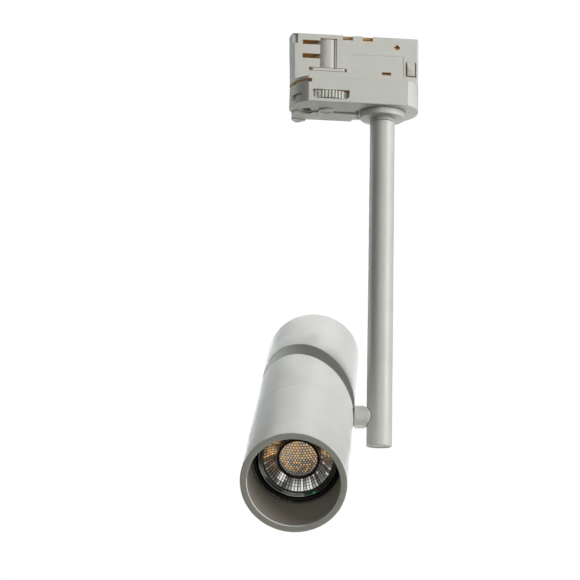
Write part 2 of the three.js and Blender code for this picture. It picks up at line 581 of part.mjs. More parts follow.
// Arc slot for a lamp pin, so that the lamp goes in and twists by 25 degrees.
function pinSlot(start) {
  const twist = 25;
  const zs = [14.0, 30];
  const sweep = prism([
    ...arc(0, 0, 7.9, -3, twist + 3, 8), ...arc(0, 0, 2.2, twist + 3, -3, 8),
  ], zs).rotate([0, 0, start]);
  const ends = [start, start + twist].map((angle) => rodZ(
    3.0, zs, 20, PIN_OFFSET * Math.cos(angle * DEG), PIN_OFFSET * Math.sin(angle * DEG)));
  return union(sweep, ...ends);
}
addPiece(head, 'lamp_holder', cut(rodZ(13.6, [7.6, 22.0], 36), pinSlot(0), pinSlot(180),
  ...rodPair(1.6, [0, 15.6], 12, 0, HOLDER_SCREW),
  box([-2.0, 2.0], [-14, -10.9], [18, 23]),
  box([-2.0, 2.0], [10.9, 14], [18, 23])), 'ceramic');
addPiece(head, 'holder_lead_a', wire([
  [3.2, 2.6, 3.2], [3.4, 5.2, -4], [1.2, 5.2, -16], [-3, 2, -34], [-4, 0, -52],
], 1.0, 6, 9), 'cable');
addPiece(head, 'holder_lead_b', wire([
  [-5.2, -3.0, 3.2], [-6.4, -5.4, -6], [-7.4, -4.4, -18], [-8, -3, -36], [-8, 0, -52],
], 1.0, 6, 9), 'cable');

// ---- black sleeve that centres the lamp
addPiece(head, 'lamp_sleeve', turnedRing([
  [26.5, 20.8], [27.9, 20.8], [27.9, 74.6], [27.2, 75.2], [25.5, 75.2],
  [25.5, 73.6], [26.5, 72.6]], 48), 'black');

// ---- front barrel, slips over the body's spigot
addPiece(head, 'front_barrel', turnedRing([
  [30.1, SEAM + 0.3], [HEAD_R - 0.25, SEAM + 0.3], [HEAD_R, SEAM + 0.55],
  [HEAD_R, HEAD_FRONT - 0.5], [HEAD_R - 0.5, HEAD_FRONT], [OPENING_R + 0.45, HEAD_FRONT],
  [OPENING_R, HEAD_FRONT - 0.7], [OPENING_R, 77.0], [30.1, 75.8]], HEAD_FACETS), 'lacquer');

// ===================================================================== lamp
addPiece(head, 'lamp_body', turned([
  [0, 23.0], [10.6, 23.0], [11.0, 23.4], [11.0, 33.0], [14.0, 36.0], [18.0, 44.0],
  [22.0, 54.0], [24.4, 64.0], [24.4, 69.0], [23.6, 69.0], [23.2, 64.2], [20.4, 56.6],
  [0, 56.6]], 48), 'housing');
for (const [key, side] of PAIR) {
  const x = side * PIN_OFFSET;
  addPiece(head, `lamp_pin_${key}`,
    union(rodZ(1.4, [17.4, 22.75], 16, x), rodZ(2.4, [15.2, 17.5], 16, x)), 'steel');
}
addPiece(head, 'led_board', rodZ(12.6, [57.0, 58.4], 32), 'phosphor');
addPiece(head, 'lamp_reflector', turnedRing([
  [14.3, 61.4], [16.5, 63.0], [19.2, 66.0], [21.2, 69.6], [22.6, 69.6], [22.6, 70.9],
  [20.4, 70.9], [18.3, 67.0], [15.8, 64.2], [14.3, 63.0]], 40), 'chrome');
addPiece(head, 'lens_ring', turnedRing([
  [12.7, 59.0], [14.0, 59.0], [14.0, 69.6], [13.4, 70.2], [12.7, 69.4]], 40), 'steel');
addPiece(head, 'centre_lens', turned([
  [0, 62.0], [12.3, 62.0], [12.3, 67.6], [10.5, 68.9], [7.5, 70.2], [4.0, 71.0],
  [0, 71.3]], 36), 'clear');
addPiece(head, 'lamp_rim', turnedRing([
  [22.9, 69.3], [24.2, 69.3], [25.0, 70.1], [LAMP_R, 73.2], [24.2, LAMP_FRONT],
  [21.6, LAMP_FRONT - 0.3], [21.3, 72.2], [22.9, 71.6]], 48), 'clear');

export default spotlight;
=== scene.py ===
import bmesh
import bpy
import random
from math import asin, atan2, cos, degrees, exp, floor, hypot, pi, radians, sin, sqrt, tan
from mathutils import Matrix, Vector


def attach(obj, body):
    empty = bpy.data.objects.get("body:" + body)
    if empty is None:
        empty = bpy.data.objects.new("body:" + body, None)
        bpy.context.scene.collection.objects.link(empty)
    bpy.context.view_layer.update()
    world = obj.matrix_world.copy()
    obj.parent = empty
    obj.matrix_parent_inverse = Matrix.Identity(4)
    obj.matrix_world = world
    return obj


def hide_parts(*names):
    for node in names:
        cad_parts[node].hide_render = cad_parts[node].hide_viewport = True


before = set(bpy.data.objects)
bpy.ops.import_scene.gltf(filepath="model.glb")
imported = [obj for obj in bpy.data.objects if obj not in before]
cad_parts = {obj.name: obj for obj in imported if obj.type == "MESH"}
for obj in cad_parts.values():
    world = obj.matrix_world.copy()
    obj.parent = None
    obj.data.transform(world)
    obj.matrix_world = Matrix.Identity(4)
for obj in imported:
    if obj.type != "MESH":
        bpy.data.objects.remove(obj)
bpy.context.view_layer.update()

# ---------------------------------------------------------------- sizes (mm, degrees)
# Adapter: insert (body) above, wider cover below. Its plan has straight sides and arc ends.
TOP = 3.0                   # top of the insert in the adapter's frame
BODY_HALF = 9.7             # half the insert's width in Y
BODY_WALL = 1.8
BASE_TOP, BASE_BOTTOM = -30.05, -31.8
COVER_HALF = 19.35          # half the cover's width in Y
COVER_STRAIGHT = 33.5       # half the length of the straight sides
BULGE_L, BULGE_R = 11.0, 9.8    # how far the end arcs reach beyond the straight sides
COVER_TOP, COVER_BOTTOM = -30.2, -47.3
COVER_WALL = 1.6
COVER_SCREWS = [(33.0, 12.0), (5.5, 12.5)]
# Lock, turning about a vertical axis in the left half
LOCK_X, CAM_R, DRUM_R, WHEEL_R = -19.6, 14.1, 9.5, 20.2
LEVER_BOTTOM, LEVER_TOP = -48.6, -47.55
# Stem
STEM_X, PAN = 19.1, -9.73
FLANGE_R, FLANGE_TOP, FLANGE_BOTTOM = 15.3, -47.55, -52.0
ROD_R, ROD_TOP, ROD_BOTTOM = 8.4, -54.6, -274.7
STUB_R, STUB_BORE = 7.5, 5.1
# Head: its frame has Z along the beam (forward and down) and Y up; the origin is the pivot
PIVOT_Z, OFFSET, TILT = -255.2, 49.14, 29.58
HEAD_R, OPENING_R, NECK_R = 32.5, 28.2, 24.5
FRONT_Z, SEAM_Z, REAR_Z = 109.7, 25.6, -116.4
CUT_FRONT, CUT_REAR = -16.76, -36.85    # the two faces of the oblique groove, on the axis
CUT_X, CUT_Y = 0.5686, -0.3889          # slopes of the groove along X and Y
CUT_STRETCH = sqrt(1 + CUT_X * CUT_X + CUT_Y * CUT_Y)

ADAPTER = Matrix.Translation((0, 0, -TOP))
LOCK = Matrix.Translation((LOCK_X, 0, -TOP))
STEM = Matrix.Translation((STEM_X, 0, -TOP)) @ Matrix.Rotation(radians(PAN), 4, "Z")
tilt_cos, tilt_sin = cos(radians(TILT)), sin(radians(TILT))
HEAD = STEM @ Matrix.Translation((-OFFSET, 0, PIVOT_Z)) @ Matrix((
    (1, 0, 0, 0), (0, -tilt_sin, -tilt_cos, 0), (0, tilt_cos, -tilt_sin, 0), (0, 0, 0, 1)))
MM_TO_M = Matrix.Scale(0.001, 4)


# ---------------------------------------------------------------- mesh kit
def mesh_object(name, verts, faces):
    mesh = bpy.data.meshes.new(name)
    mesh.from_pydata(verts, [], faces)
    mesh.validate()
    mesh.update()
    part = bpy.data.objects.new(name, mesh)
    bpy.context.scene.collection.objects.link(part)
    return part


def outward(part):
    """Merge doubled vertices and turn all normals outward."""
    bm = bmesh.new()
    bm.from_mesh(part.data)
    bmesh.ops.remove_doubles(bm, verts=bm.verts, dist=1e-5)
    bmesh.ops.recalc_face_normals(bm, faces=bm.faces)
    if bm.calc_volume(signed=True) < 0:
        bmesh.ops.reverse_faces(bm, faces=bm.faces)
    bm.to_mesh(part.data)
    bm.free()
    part.data.update()
    return part


def clamp(value):
    return max(0.0, min(1.0, value))


def polar(point):
    """Radius, and angle in degrees from 0 to 360."""
    return hypot(point.x, point.y), degrees(atan2(point.y, point.x)) % 360


def arc(cx, cy, radius, start, end, steps):
    angles = [radians(start + (end - start) * i / steps) for i in range(steps + 1)]
    return [(cx + radius * cos(a), cy + radius * sin(a)) for a in angles]


def fillet(corners, closed=False, steps=5):
    """Round the corners (x, y, radius[, tag]) of an outline; returns points (x, y[, tag])."""
    outline = []
    count = len(corners)
    for i, (x, y, radius, *tag) in enumerate(corners):
        if radius <= 0 or (not closed and i in (0, count - 1)):
            outline.append((x, y, *tag))
            continue
        corner = Vector((x, y))
        back = Vector(corners[i - 1][:2]) - corner
        ahead = Vector(corners[(i + 1) % count][:2]) - corner
        room = (back.length * 0.49, ahead.length * 0.49)
        back.normalize()
        ahead.normalize()
        half = back.angle(ahead) / 2
        reach = min(radius / tan(half), *room)
        fitted = reach * tan(half)
        centre = corner + (back + ahead).normalized() * (fitted / sin(half))
        first = corner + back * reach - centre
        last = corner + ahead * reach - centre
        start = atan2(first.y, first.x)
        sweep = atan2(last.y, last.x) - start
        if sweep > pi:
            sweep -= 2 * pi
        elif sweep < -pi:
            sweep += 2 * pi
        for k in range(steps + 1):
            angle = start + sweep * k / steps
            outline.append((centre.x + fitted * cos(angle), centre.y + fitted * sin(angle), *tag))
    return outline


def ring_faces(rings, closed=True):
    """Quads between neighbouring rings, triangles where a ring has shrunk to a point."""
    faces = []
    following = rings[1:] + (rings[:1] if closed else [])
    for lower, upper in zip(rings, following):
        for k in range(len(lower)):
            after = (k + 1) % len(lower)
            face = list(dict.fromkeys((lower[k], lower[after], upper[after], upper[k])))
            if len(face) >= 3:
                faces.append(face)
    return faces


def lathe(name, profile, segments=96, height=lambda point, turn: point[1]):
    """Turn a profile (r, z[, tag]) about Z. It is closed, or starts and ends on the axis."""
    verts, rings = [], []
    for point in profile:
        radius = point[0]
        if radius == 0:
            rings.append([len(verts)] * segments)
            verts.append((0, 0, height(point, 0.0)))
            continue
        rings.append(list(range(len(verts), len(verts) + segments)))
        for k in range(segments):
            turn = 2 * pi * k / segments
            verts.append((radius * cos(turn), radius * sin(turn), height(point, turn)))
    closed = profile[0][0] != 0 or profile[-1][0] != 0
    return outward(mesh_object(name, verts, ring_faces(rings, closed)))


def prism(points, z0, z1, name="cutter"):
    """Outline in X and Y, extruded along Z."""
    n = len(points)
    verts = [(x, y, z0) for x, y in points] + [(x, y, z1) for x, y in points]
    faces = [list(range(n))[::-1], list(range(n, 2 * n))]
    faces += [[i, (i + 1) % n, n + (i + 1) % n, n + i] for i in range(n)]
    return outward(mesh_object(name, verts, faces))


def prism_y(points, y0, y1):
    """Outline in X and Z, extruded along Y."""
    n = len(points)
    verts = [(x, y0, z) for x, z in points] + [(x, y1, z) for x, z in points]
    faces = [list(range(n)), list(range(n, 2 * n))[::-1]]
    faces += [[i, n + i, n + (i + 1) % n, (i + 1) % n] for i in range(n)]
    return outward(mesh_object("cutter", verts, faces))


def box(x0, x1, y0, y1, z0, z1, name="cutter"):
    return prism([(x0, y0), (x1, y0), (x1, y1), (x0, y1)], z0, z1, name)


def cylinder(radius, z0, z1, x=0.0, y=0.0, segments=48, name="cutter"):
    circle = arc(0, 0, radius, 0, 360 * (segments - 1) / segments, segments - 1)
    return prism([(x + px, y + py) for px, py in circle], z0, z1, name)


def cylinder_x(radius, x0, x1, z=0.0, segments=48):
    part = cylinder(radius, x0, x1, segments=segments)
    part.data.transform(Matrix(((0, 0, 1, 0), (1, 0, 0, 0), (0, 1, 0, z), (0, 0, 0, 1))))
    return outward(part)


def evaluated_mesh(part):
    """The mesh with the modifiers worked in; the modifiers are then removed."""
    depsgraph = bpy.context.evaluated_depsgraph_get()
    mesh = bpy.data.meshes.new_from_object(part.evaluated_get(depsgraph), depsgraph=depsgraph)
    part.modifiers.clear()
    return mesh


def apply_modifiers(part):
    mesh = evaluated_mesh(part)
    old = part.data
    part.data = mesh
    if old.users == 0:
        bpy.data.meshes.remove(old)


def boolean(part, tools, operation="DIFFERENCE"):
    """Apply each tool in turn and remove it."""
    for tool in tools if isinstance(tools, list) else [tools]:
        # The exact solver steps in where the manifold one gives an empty mesh.
        for solver in ("MANIFOLD", "EXACT"):
            modifier = part.modifiers.new("boolean", "BOOLEAN")
            modifier.operation = operation
            modifier.solver = solver
            modifier.object = tool
            mesh = evaluated_mesh(part)
            if len(mesh.polygons) > 0:
                part.data = mesh
                break
            bpy.data.meshes.remove(mesh)
        bpy.data.objects.remove(tool)


def bevel(part, width, segments=2, angle=35):
    modifier = part.modifiers.new("bevel", "BEVEL")
    modifier.width = width
    modifier.segments = segments
    modifier.limit_method = "ANGLE"
    modifier.angle_limit = radians(angle)
    modifier.use_clamp_overlap = False
    modifier.miter_outer = "MITER_ARC"
    apply_modifiers(part)


def tidy(part):
    bm = bmesh.new()
    bm.from_mesh(part.data)
    bmesh.ops.remove_doubles(bm, verts=bm.verts, dist=2e-4)
    bmesh.ops.dissolve_degenerate(bm, edges=bm.edges, dist=1e-4)
    bm.to_mesh(part.data)
    bm.free()


def attribute(part, name, values, domain="POINT"):
    part.data.attributes.new(name, "FLOAT", domain).data.foreach_set("value", values)


def paint(part, materials, pick):
    """Several materials on one part; pick gives the index for a polygon."""
    part.data.materials.clear()
    for material in materials:
        part.data.materials.append(material)
    for polygon in part.data.polygons:
        polygon.material_index = int(pick(polygon))


def place(part, matrix, body, node, material=None, smooth=32, weighted=True):
    """Last step: into the row frame in metres, shading, material (unless painted), body."""
    part.data.transform(MM_TO_M @ matrix)
    part.data.polygons.foreach_set("use_smooth", [True] * len(part.data.polygons))
    part.data.set_sharp_from_angle(angle=radians(smooth))
    if weighted:
        modifier = part.modifiers.new("weighted", "WEIGHTED_NORMAL")
        modifier.keep_sharp = True
        modifier.weight = 100
        modifier.mode = "FACE_AREA"
        apply_modifiers(part)
    if material:
        part.data.materials.clear()
        part.data.materials.append(material)
    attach(part, body)
    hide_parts(node)


# ---------------------------------------------------------------- shader kit
class NodeTree:
    """The emptied node tree of a material or world, with shorthand for its nodes."""

    def __init__(self, owner):
        owner.use_nodes = True
        self.tree = owner.node_tree
        self.tree.nodes.clear()

    def add(self, kind, **settings):
        node = self.tree.nodes.new(kind)
        for key, value in settings.items():
            setattr(node, key, value)
        return node

    def feed(self, socket, value):
        """Give a socket a number, a colour or a link."""
        if isinstance(value, (int, float)):
            socket.default_value = value
        elif isinstance(value, (tuple, Vector)):
            socket.default_value = (*value, 1)
        else:
            self.tree.links.new(value, socket)

    def ramp(self, factor, stops):
        """Stops are (position, grey or colour)."""
        node = self.add("ShaderNodeValToRGB")
        elements = node.color_ramp.elements
        for i, (position, colour) in enumerate(stops):
            if not isinstance(colour, (tuple, Vector)):
                colour = (colour, colour, colour)
            element = elements[i] if i < 2 else elements.new(position)
            element.position = position
            element.color = (*colour, 1)
        self.feed(node.inputs[0], factor)
        return node.outputs[0]

    def math(self, operation, *values, clamp=False):
        node = self.add("ShaderNodeMath", operation=operation, use_clamp=clamp)
        for socket, value in zip(node.inputs, values):
            self.feed(socket, value)
        return node.outputs[0]


class Shader(NodeTree):
    """A material around one Principled node, with textures in object coordinates."""

    def __init__(self, name):
        self.material = bpy.data.materials.new(name)
        super().__init__(self.material)
        output = self.add("ShaderNodeOutputMaterial")
        self.principled = self.add("ShaderNodeBsdfPrincipled")
        self.feed(output.inputs[0], self.principled.outputs[0])
        self.coords = self.add("ShaderNodeTexCoord").outputs["Object"]

    def noise(self, scale, detail=3.0, rough=0.55, distortion=0.0, source=None):
        node = self.add("ShaderNodeTexNoise")
        node.inputs["Scale"].default_value = scale
        node.inputs["Detail"].default_value = detail
        node.inputs["Roughness"].default_value = rough
        node.inputs["Distortion"].default_value = distortion
        self.feed(node.inputs["Vector"], source or self.coords)
        return node.outputs["Fac"]

    def mottle(self, scale, low, high, span=(0.3, 0.7), **noise):
        """Noise spread from low to high, over the span of the noise's own values."""
        return self.ramp(self.noise(scale, **noise), [(span[0], low), (span[1], high)])

    def mix(self, factor, first, second):
        node = self.add("ShaderNodeMix", data_type="RGBA")
        for index, value in ((0, factor), (6, first), (7, second)):
            self.feed(node.inputs[index], value)
        return node.outputs[2]

    def bump(self, height, strength, distance, normal=None):
        node = self.add("ShaderNodeBump")
        node.inputs["Strength"].default_value = strength
        node.inputs["Distance"].default_value = distance
        self.feed(node.inputs["Height"], height)
        if normal is not None:
            self.feed(node.inputs["Normal"], normal)
        return node.outputs[0]

    def relief(self, scale, strength, distance, normal=None, **noise):
        return self.bump(self.noise(scale, **noise), strength, distance, normal)

    def attribute(self, name):
        return self.add("ShaderNodeAttribute", attribute_name=name).outputs["Fac"]

    def edges(self):
        """1 on rounded or sharp edges, 0 on flats."""
        rounded = self.add("ShaderNodeBevel", samples=4)
        rounded.inputs["Radius"].default_value = 0.0006
        geometry = self.add("ShaderNodeNewGeometry")
        dot = self.add("ShaderNodeVectorMath", operation="DOT_PRODUCT")
        self.feed(dot.inputs[0], rounded.outputs[0])
        self.feed(dot.inputs[1], geometry.outputs["Normal"])
        bend = self.math("SUBTRACT", 1.0, dot.outputs["Value"], clamp=True)
        spread = self.add("ShaderNodeMapRange")
        spread.inputs["From Min"].default_value = 0.02
        spread.inputs["From Max"].default_value = 0.25
        self.feed(spread.inputs["Value"], bend)
        return spread.outputs[0]

    def set(self, **inputs):
        """Principled inputs by name, with _ for a space; returns the material."""
        for key, value in inputs.items():
            self.feed(self.principled.inputs[key.replace("_", " ")], value)
        return self.material


# ---------------------------------------------------------------- materials
def coat(name, colour, rough, grain=1500.0, depth=0.00003, peel=0.6, fine=0.35,
         specks=0.5, edge=0.35, dirt=0.06):
    """Powder coat or moulded plastic.

    grain and depth: scale and height of the relief; peel and fine: strength of its coarse and
    fine parts; specks, edge and dirt: amount of dark dots, paler edges and cloudiness.
    """
    shader = Shader(name)
    colour = Vector(colour)
    base = shader.mottle(38.0, low=colour * (1 - dirt), high=colour * (1 + dirt * 0.35),
                         span=(0.30, 0.72), detail=4.0, rough=0.6)
    aged = shader.mottle(9.0, low=0.0, high=0.16, span=(0.35, 0.75), detail=2.0, rough=0.5)
    warmer = (colour.x * 0.985, colour.y * 0.965, colour.z * 0.93)
    base = shader.mix(aged, base, warmer)
    dots = shader.mottle(grain * 2.6, low=0.0, high=specks * 0.5, span=(0.64, 0.74),
                         detail=2.0, rough=0.6)
    base = shader.mix(dots, base, colour * 0.82)
    # edges made paler, in patches; edge sets how much
    edges = shader.edges()
    patches = shader.mottle(260.0, low=0.25, high=1.0, span=(0.35, 0.65), detail=3.0, rough=0.7)
    paler_edge_mask = shader.math("MULTIPLY", edges, patches)
    paler = tuple(min(1.0, channel * 1.10 + 0.03) for channel in colour)
    base = shader.mix(shader.math("MULTIPLY", paler_edge_mask, edge), base, paler)
    roughness = shader.mottle(70.0, low=rough - 0.06, high=rough + 0.08, span=(0.25, 0.75),
                              detail=4.0, rough=0.65)
    smear = shader.mottle(22.0, low=0.0, high=0.07, span=(0.55, 0.70),
                          detail=5.0, rough=0.7, distortion=1.2)
    roughness = shader.math("SUBTRACT", roughness, smear, clamp=True)
    coarse = shader.relief(grain * 0.55, strength=peel, distance=depth, detail=2.0, rough=0.5)
    normal = shader.relief(grain * 2.2, strength=fine, distance=depth * 0.5, normal=coarse,
                           detail=2.0, rough=0.6)
    shader.set(Base_Color=base, Roughness=roughness, Normal=normal, Specular_IOR_Level=0.5)
    return shader


def coated(*arguments, **settings):
    return coat(*arguments, **settings).material


def groove_painted_light_material():
    """Groove coat: darker than the white as painted shade, and glowing towards the left of the
    head as painted light.
    """
    shader = coat("powder_coat_groove_painted_light", (0.58, 0.59, 0.56), rough=0.6, edge=0.2)
    # painted light: emission that grows towards the head's left
    falloff = shader.math("POWER", shader.attribute("left"), 1.6)
    strength = shader.math("MULTIPLY", falloff, 0.42)
    return shader.set(Emission_Color=(0.80, 0.86, 0.83), Emission_Strength=strength)


def metal(name, colour, rough, tint):
    """Metal brushed across Z, with patches of the tint."""
    shader = Shader(name)
    mapping = shader.add("ShaderNodeMapping")
    mapping.inputs["Scale"].default_value = (40.0, 40.0, 900.0)
    shader.feed(mapping.inputs["Vector"], shader.coords)
    lines = shader.noise(1.0, detail=4.0, rough=0.6, source=mapping.outputs[0])
    colour = Vector(colour)
    base = shader.mottle(120.0, low=colour * 0.72, high=colour * 1.05, detail=4.0, rough=0.65)
    patches = shader.mottle(320.0, low=0.0, high=0.55, span=(0.5, 0.66), detail=5.0, rough=0.7)
    base = shader.mix(patches, base, tint)
    roughness = shader.ramp(lines, [(0.3, rough - 0.08), (0.7, rough + 0.14)])
    return shader.set(Base_Color=base, Metallic=1.0, Roughness=roughness,
                      Normal=shader.bump(lines, strength=0.5, distance=0.000012))


def rubbery(name, colour, rough, grain=900.0):
    shader = Shader(name)
    colour = Vector(colour)
    return shader.set(
        Base_Color=shader.mottle(180.0, low=colour * 0.75, high=colour * 1.35,
                                 detail=4.0, rough=0.6),
        Roughness=shader.mottle(300.0, low=rough - 0.1, high=rough + 0.12,
                                detail=3.0, rough=0.6),
        Normal=shader.relief(grain, strength=0.6, distance=0.00003, detail=3.0, rough=0.6))


HOUSING = coated("moulded_housing_plastic", (0.66, 0.665, 0.625), rough=0.5, grain=2600.0,
                 depth=0.00002, peel=0.45, fine=0.4, edge=0.45, specks=0.35)
COVER = coated("moulded_cover_plastic", (0.645, 0.65, 0.605), rough=0.5, grain=2400.0,
               depth=0.00002, peel=0.45, fine=0.4, edge=0.5, specks=0.35)
LEVER = coated("moulded_lever_plastic", (0.63, 0.635, 0.59), rough=0.48, grain=2400.0,
               depth=0.00002, edge=0.5)
DRUM = coated("moulded_drum_plastic", (0.60, 0.60, 0.56), rough=0.42, grain=2400.0,
              depth=0.00002, edge=0.6)
WHITE = coated("powder_coat_white", (0.655, 0.655, 0.635), rough=0.42, grain=1700.0,
               peel=0.55, fine=0.5, edge=0.3)
STEM_WHITE = coated("powder_coat_stem", (0.60, 0.597, 0.572), rough=0.40, depth=0.00007,
                    peel=0.7, fine=0.6, edge=0.3)
# The warm brown is painted shade and painted warm light on the insides; the glow is painted light
# that stands for warm light filtering through the thin walls.
INSIDE_PAINTED_SHADE_AND_GLOW = coat("moulded_inside_painted_shade_and_glow", (0.38, 0.245, 0.11), rough=0.5, grain=2000.0,
              depth=0.00002, edge=0.25, dirt=0.14).set(
    Emission_Color=(0.25, 0.142, 0.042), Emission_Strength=0.26)
# front ring: the head's paint made darker, as painted shade where the ring faces away from the
# light
RING_PAINTED_SHADE = coated("powder_coat_front_ring_painted_shade", (0.47, 0.475, 0.43), rough=0.55, grain=1900.0,
              depth=0.00004, peel=0.7, fine=0.6, edge=0.6)
# inside of the barrel: the paint made dark as painted shade, with a faint emission as painted
# fill light
BARREL_INSIDE_PAINTED_SHADE = coat("powder_coat_inside_painted_shade", (0.20, 0.188, 0.162), rough=0.6, depth=0.00004,
                     peel=0.6, fine=0.5, edge=0.2, dirt=0.10).set(
    Emission_Color=(0.030, 0.0275, 0.022), Emission_Strength=0.75)
GROOVE = coated("powder_coat_groove", (0.56, 0.57, 0.54), rough=0.6, edge=0.2)
# stub end: painted highlight on the saddle's chamfer, painted shade in the gap against the rod
STUB_CHAMFER_PAINTED_HIGHLIGHT = coated("powder_coat_stub_chamfer_painted_highlight", (0.86, 0.86, 0.84), rough=0.4, edge=0.2)
STUB_GAP_PAINTED_SHADE = coated("powder_coat_stub_gap_painted_shade", (0.10, 0.10, 0.095), rough=0.6, edge=0.1)
SPECKLED = rubbery("speckled_edge", (0.75, 0.73, 0.68), rough=0.35, grain=2400.0)
# painted highlight on the lower left of the ring's inner edge
RING_EDGE_PAINTED_HIGHLIGHT = coated("powder_coat_ring_inner_edge_painted_highlight", (0.80, 0.80, 0.77), rough=0.35,
                   grain=1900.0, edge=0.2)
STEEL = metal("zinc_plated_steel", (0.60, 0.60, 0.58), rough=0.32, tint=(0.50, 0.47, 0.40))
COPPER = metal("contact_copper", (0.62, 0.30, 0.13), rough=0.34, tint=(0.30, 0.13, 0.06))
BLACK = rubbery("black_moulding", (0.018, 0.018, 0.017), rough=0.42)
CABLE = rubbery("cable_sheath_dark", (0.035, 0.035, 0.04), rough=0.55)
CERAMIC = coated("steatite_ceramic", (0.72, 0.69, 0.62), rough=0.7, grain=1200.0,
                 depth=0.00005, edge=0.3, dirt=0.12)
GROOVE_PAINTED_LIGHT = groove_painted_light_material()


# ---------------------------------------------------------------- adapter
def end_arc(bulge):
    """Radius of a plan's end arc, and how far its centre lies from x = 0."""
    radius = (COVER_HALF * COVER_HALF + bulge * bulge) / (2 * bulge)
    return radius, COVER_STRAIGHT + bulge - radius


def cover_plan(inset, steps=28):
    left_r, left_x = end_arc(BULGE_L)
    right_r, right_x = end_arc(BULGE_R)
    half = COVER_HALF - inset
    right_angle = degrees(asin(half / (right_r - inset)))
    left_angle = degrees(asin(half / (left_r - inset)))
    return (arc(right_x, 0, right_r - inset, -right_angle, right_angle, steps)
            + arc(-left_x, 0, left_r - inset, 180 - left_angle, 180 + left_angle, steps))


def plan_depth(x, y):
    """How far a point lies inside the nearer end arc."""
    radius, centre = end_arc(BULGE_L if x < 0 else BULGE_R)
    return radius - hypot(abs(x) - centre, y)


def lock_mirror(x):
    return 2 * LOCK_X - x


def front_opening(x0, x1, z0, z1):
    return box(x0, x1, -BODY_HALF - 1.3, -BODY_HALF + BODY_WALL + 0.3, z0, z1)


def back_opening(x0, x1, z0, z1):
    return box(x0, x1, BODY_HALF - BODY_WALL - 0.3, BODY_HALF + 1.3, z0, z1)


def mirrored_back_opening(x0, x1, z0, z1):
    """In the back wall, at the places given for the front but mirrored about the lock."""
    return back_opening(lock_mirror(x1), lock_mirror(x0), z0, z1)


def body_openings():
    walls = (  # z ranges of the two contact slots in each wall
        (front_opening, ((-4.6, -1.6), (-14.4, -11.1))),
        (mirrored_back_opening, ((-9.4, -6.3), (-18.9, -15.9))))
    openings = []
    for opening, slots in walls:
        openings += [opening(-37.1, -24.95, *slot) for slot in slots]
        openings += [opening(-24.9, -13.85, -20.55, 0.1),       # beside the drum
                     opening(-32.5, -6.9, -23.1, -20.6)]        # for the cam
    for opening, slots in walls:    # clear the sliver between slots and drum opening
        openings += [opening(-25.1, -24.7, *slot) for slot in slots]
    openings.append(cylinder(11.2, -20.7, 0.1, LOCK_X, segments=96))
    for opening in (front_opening, back_opening):               # notches in the top edge
        openings += [opening(-9.9, -3.1, -0.45, 5), opening(3.7, 10.6, -0.45, 5)]
    diamond = box(-1.55, 1.55, -2, 2, -1.55, 1.55)
    turn = Matrix.Rotation(radians(45), 4, "Y")
    diamond.data.transform(Matrix.Translation((27.2, -9.0, -3.9)) @ turn)
    recess = BODY_HALF - 0.25
    return openings + [
        box(-50, -40.4, -12, -8.2, -4.2, 2.3),                  # front left upper corner
        outward(diamond),
        front_opening(17.0, 23.2, -23.8, -21.7),
        box(-9.4, 32.0, -20, -recess, -25.8, -10.1),            # shallow panels
        box(-9.4, 32.0, recess, 20, -25.8, -10.1),
        front_opening(33.2, 40.5, -24.2, -13.9),                # latch window
        box(33.25, 40.45, -BODY_HALF + 0.38, -BODY_HALF + BODY_WALL + 0.25, -14.1, -13.45)]


def body_is_inside(polygon):
    c = polygon.center
    depth = plan_depth(c.x, c.y)
    beside_drum = abs(c.x + 13.85) < 0.3 or abs(lock_mirror(c.x) + 13.85) < 0.3
    return not (abs(c.y) > BODY_HALF - 0.36 or c.z > TOP - 0.32 or depth < 0.42
                or (c.x < -40.3 and abs(c.y) > 8.1) or c.z < -39.9
                or (c.z < BASE_TOP and depth < 0.6)
                or (beside_drum and abs(c.y) > 8.0))


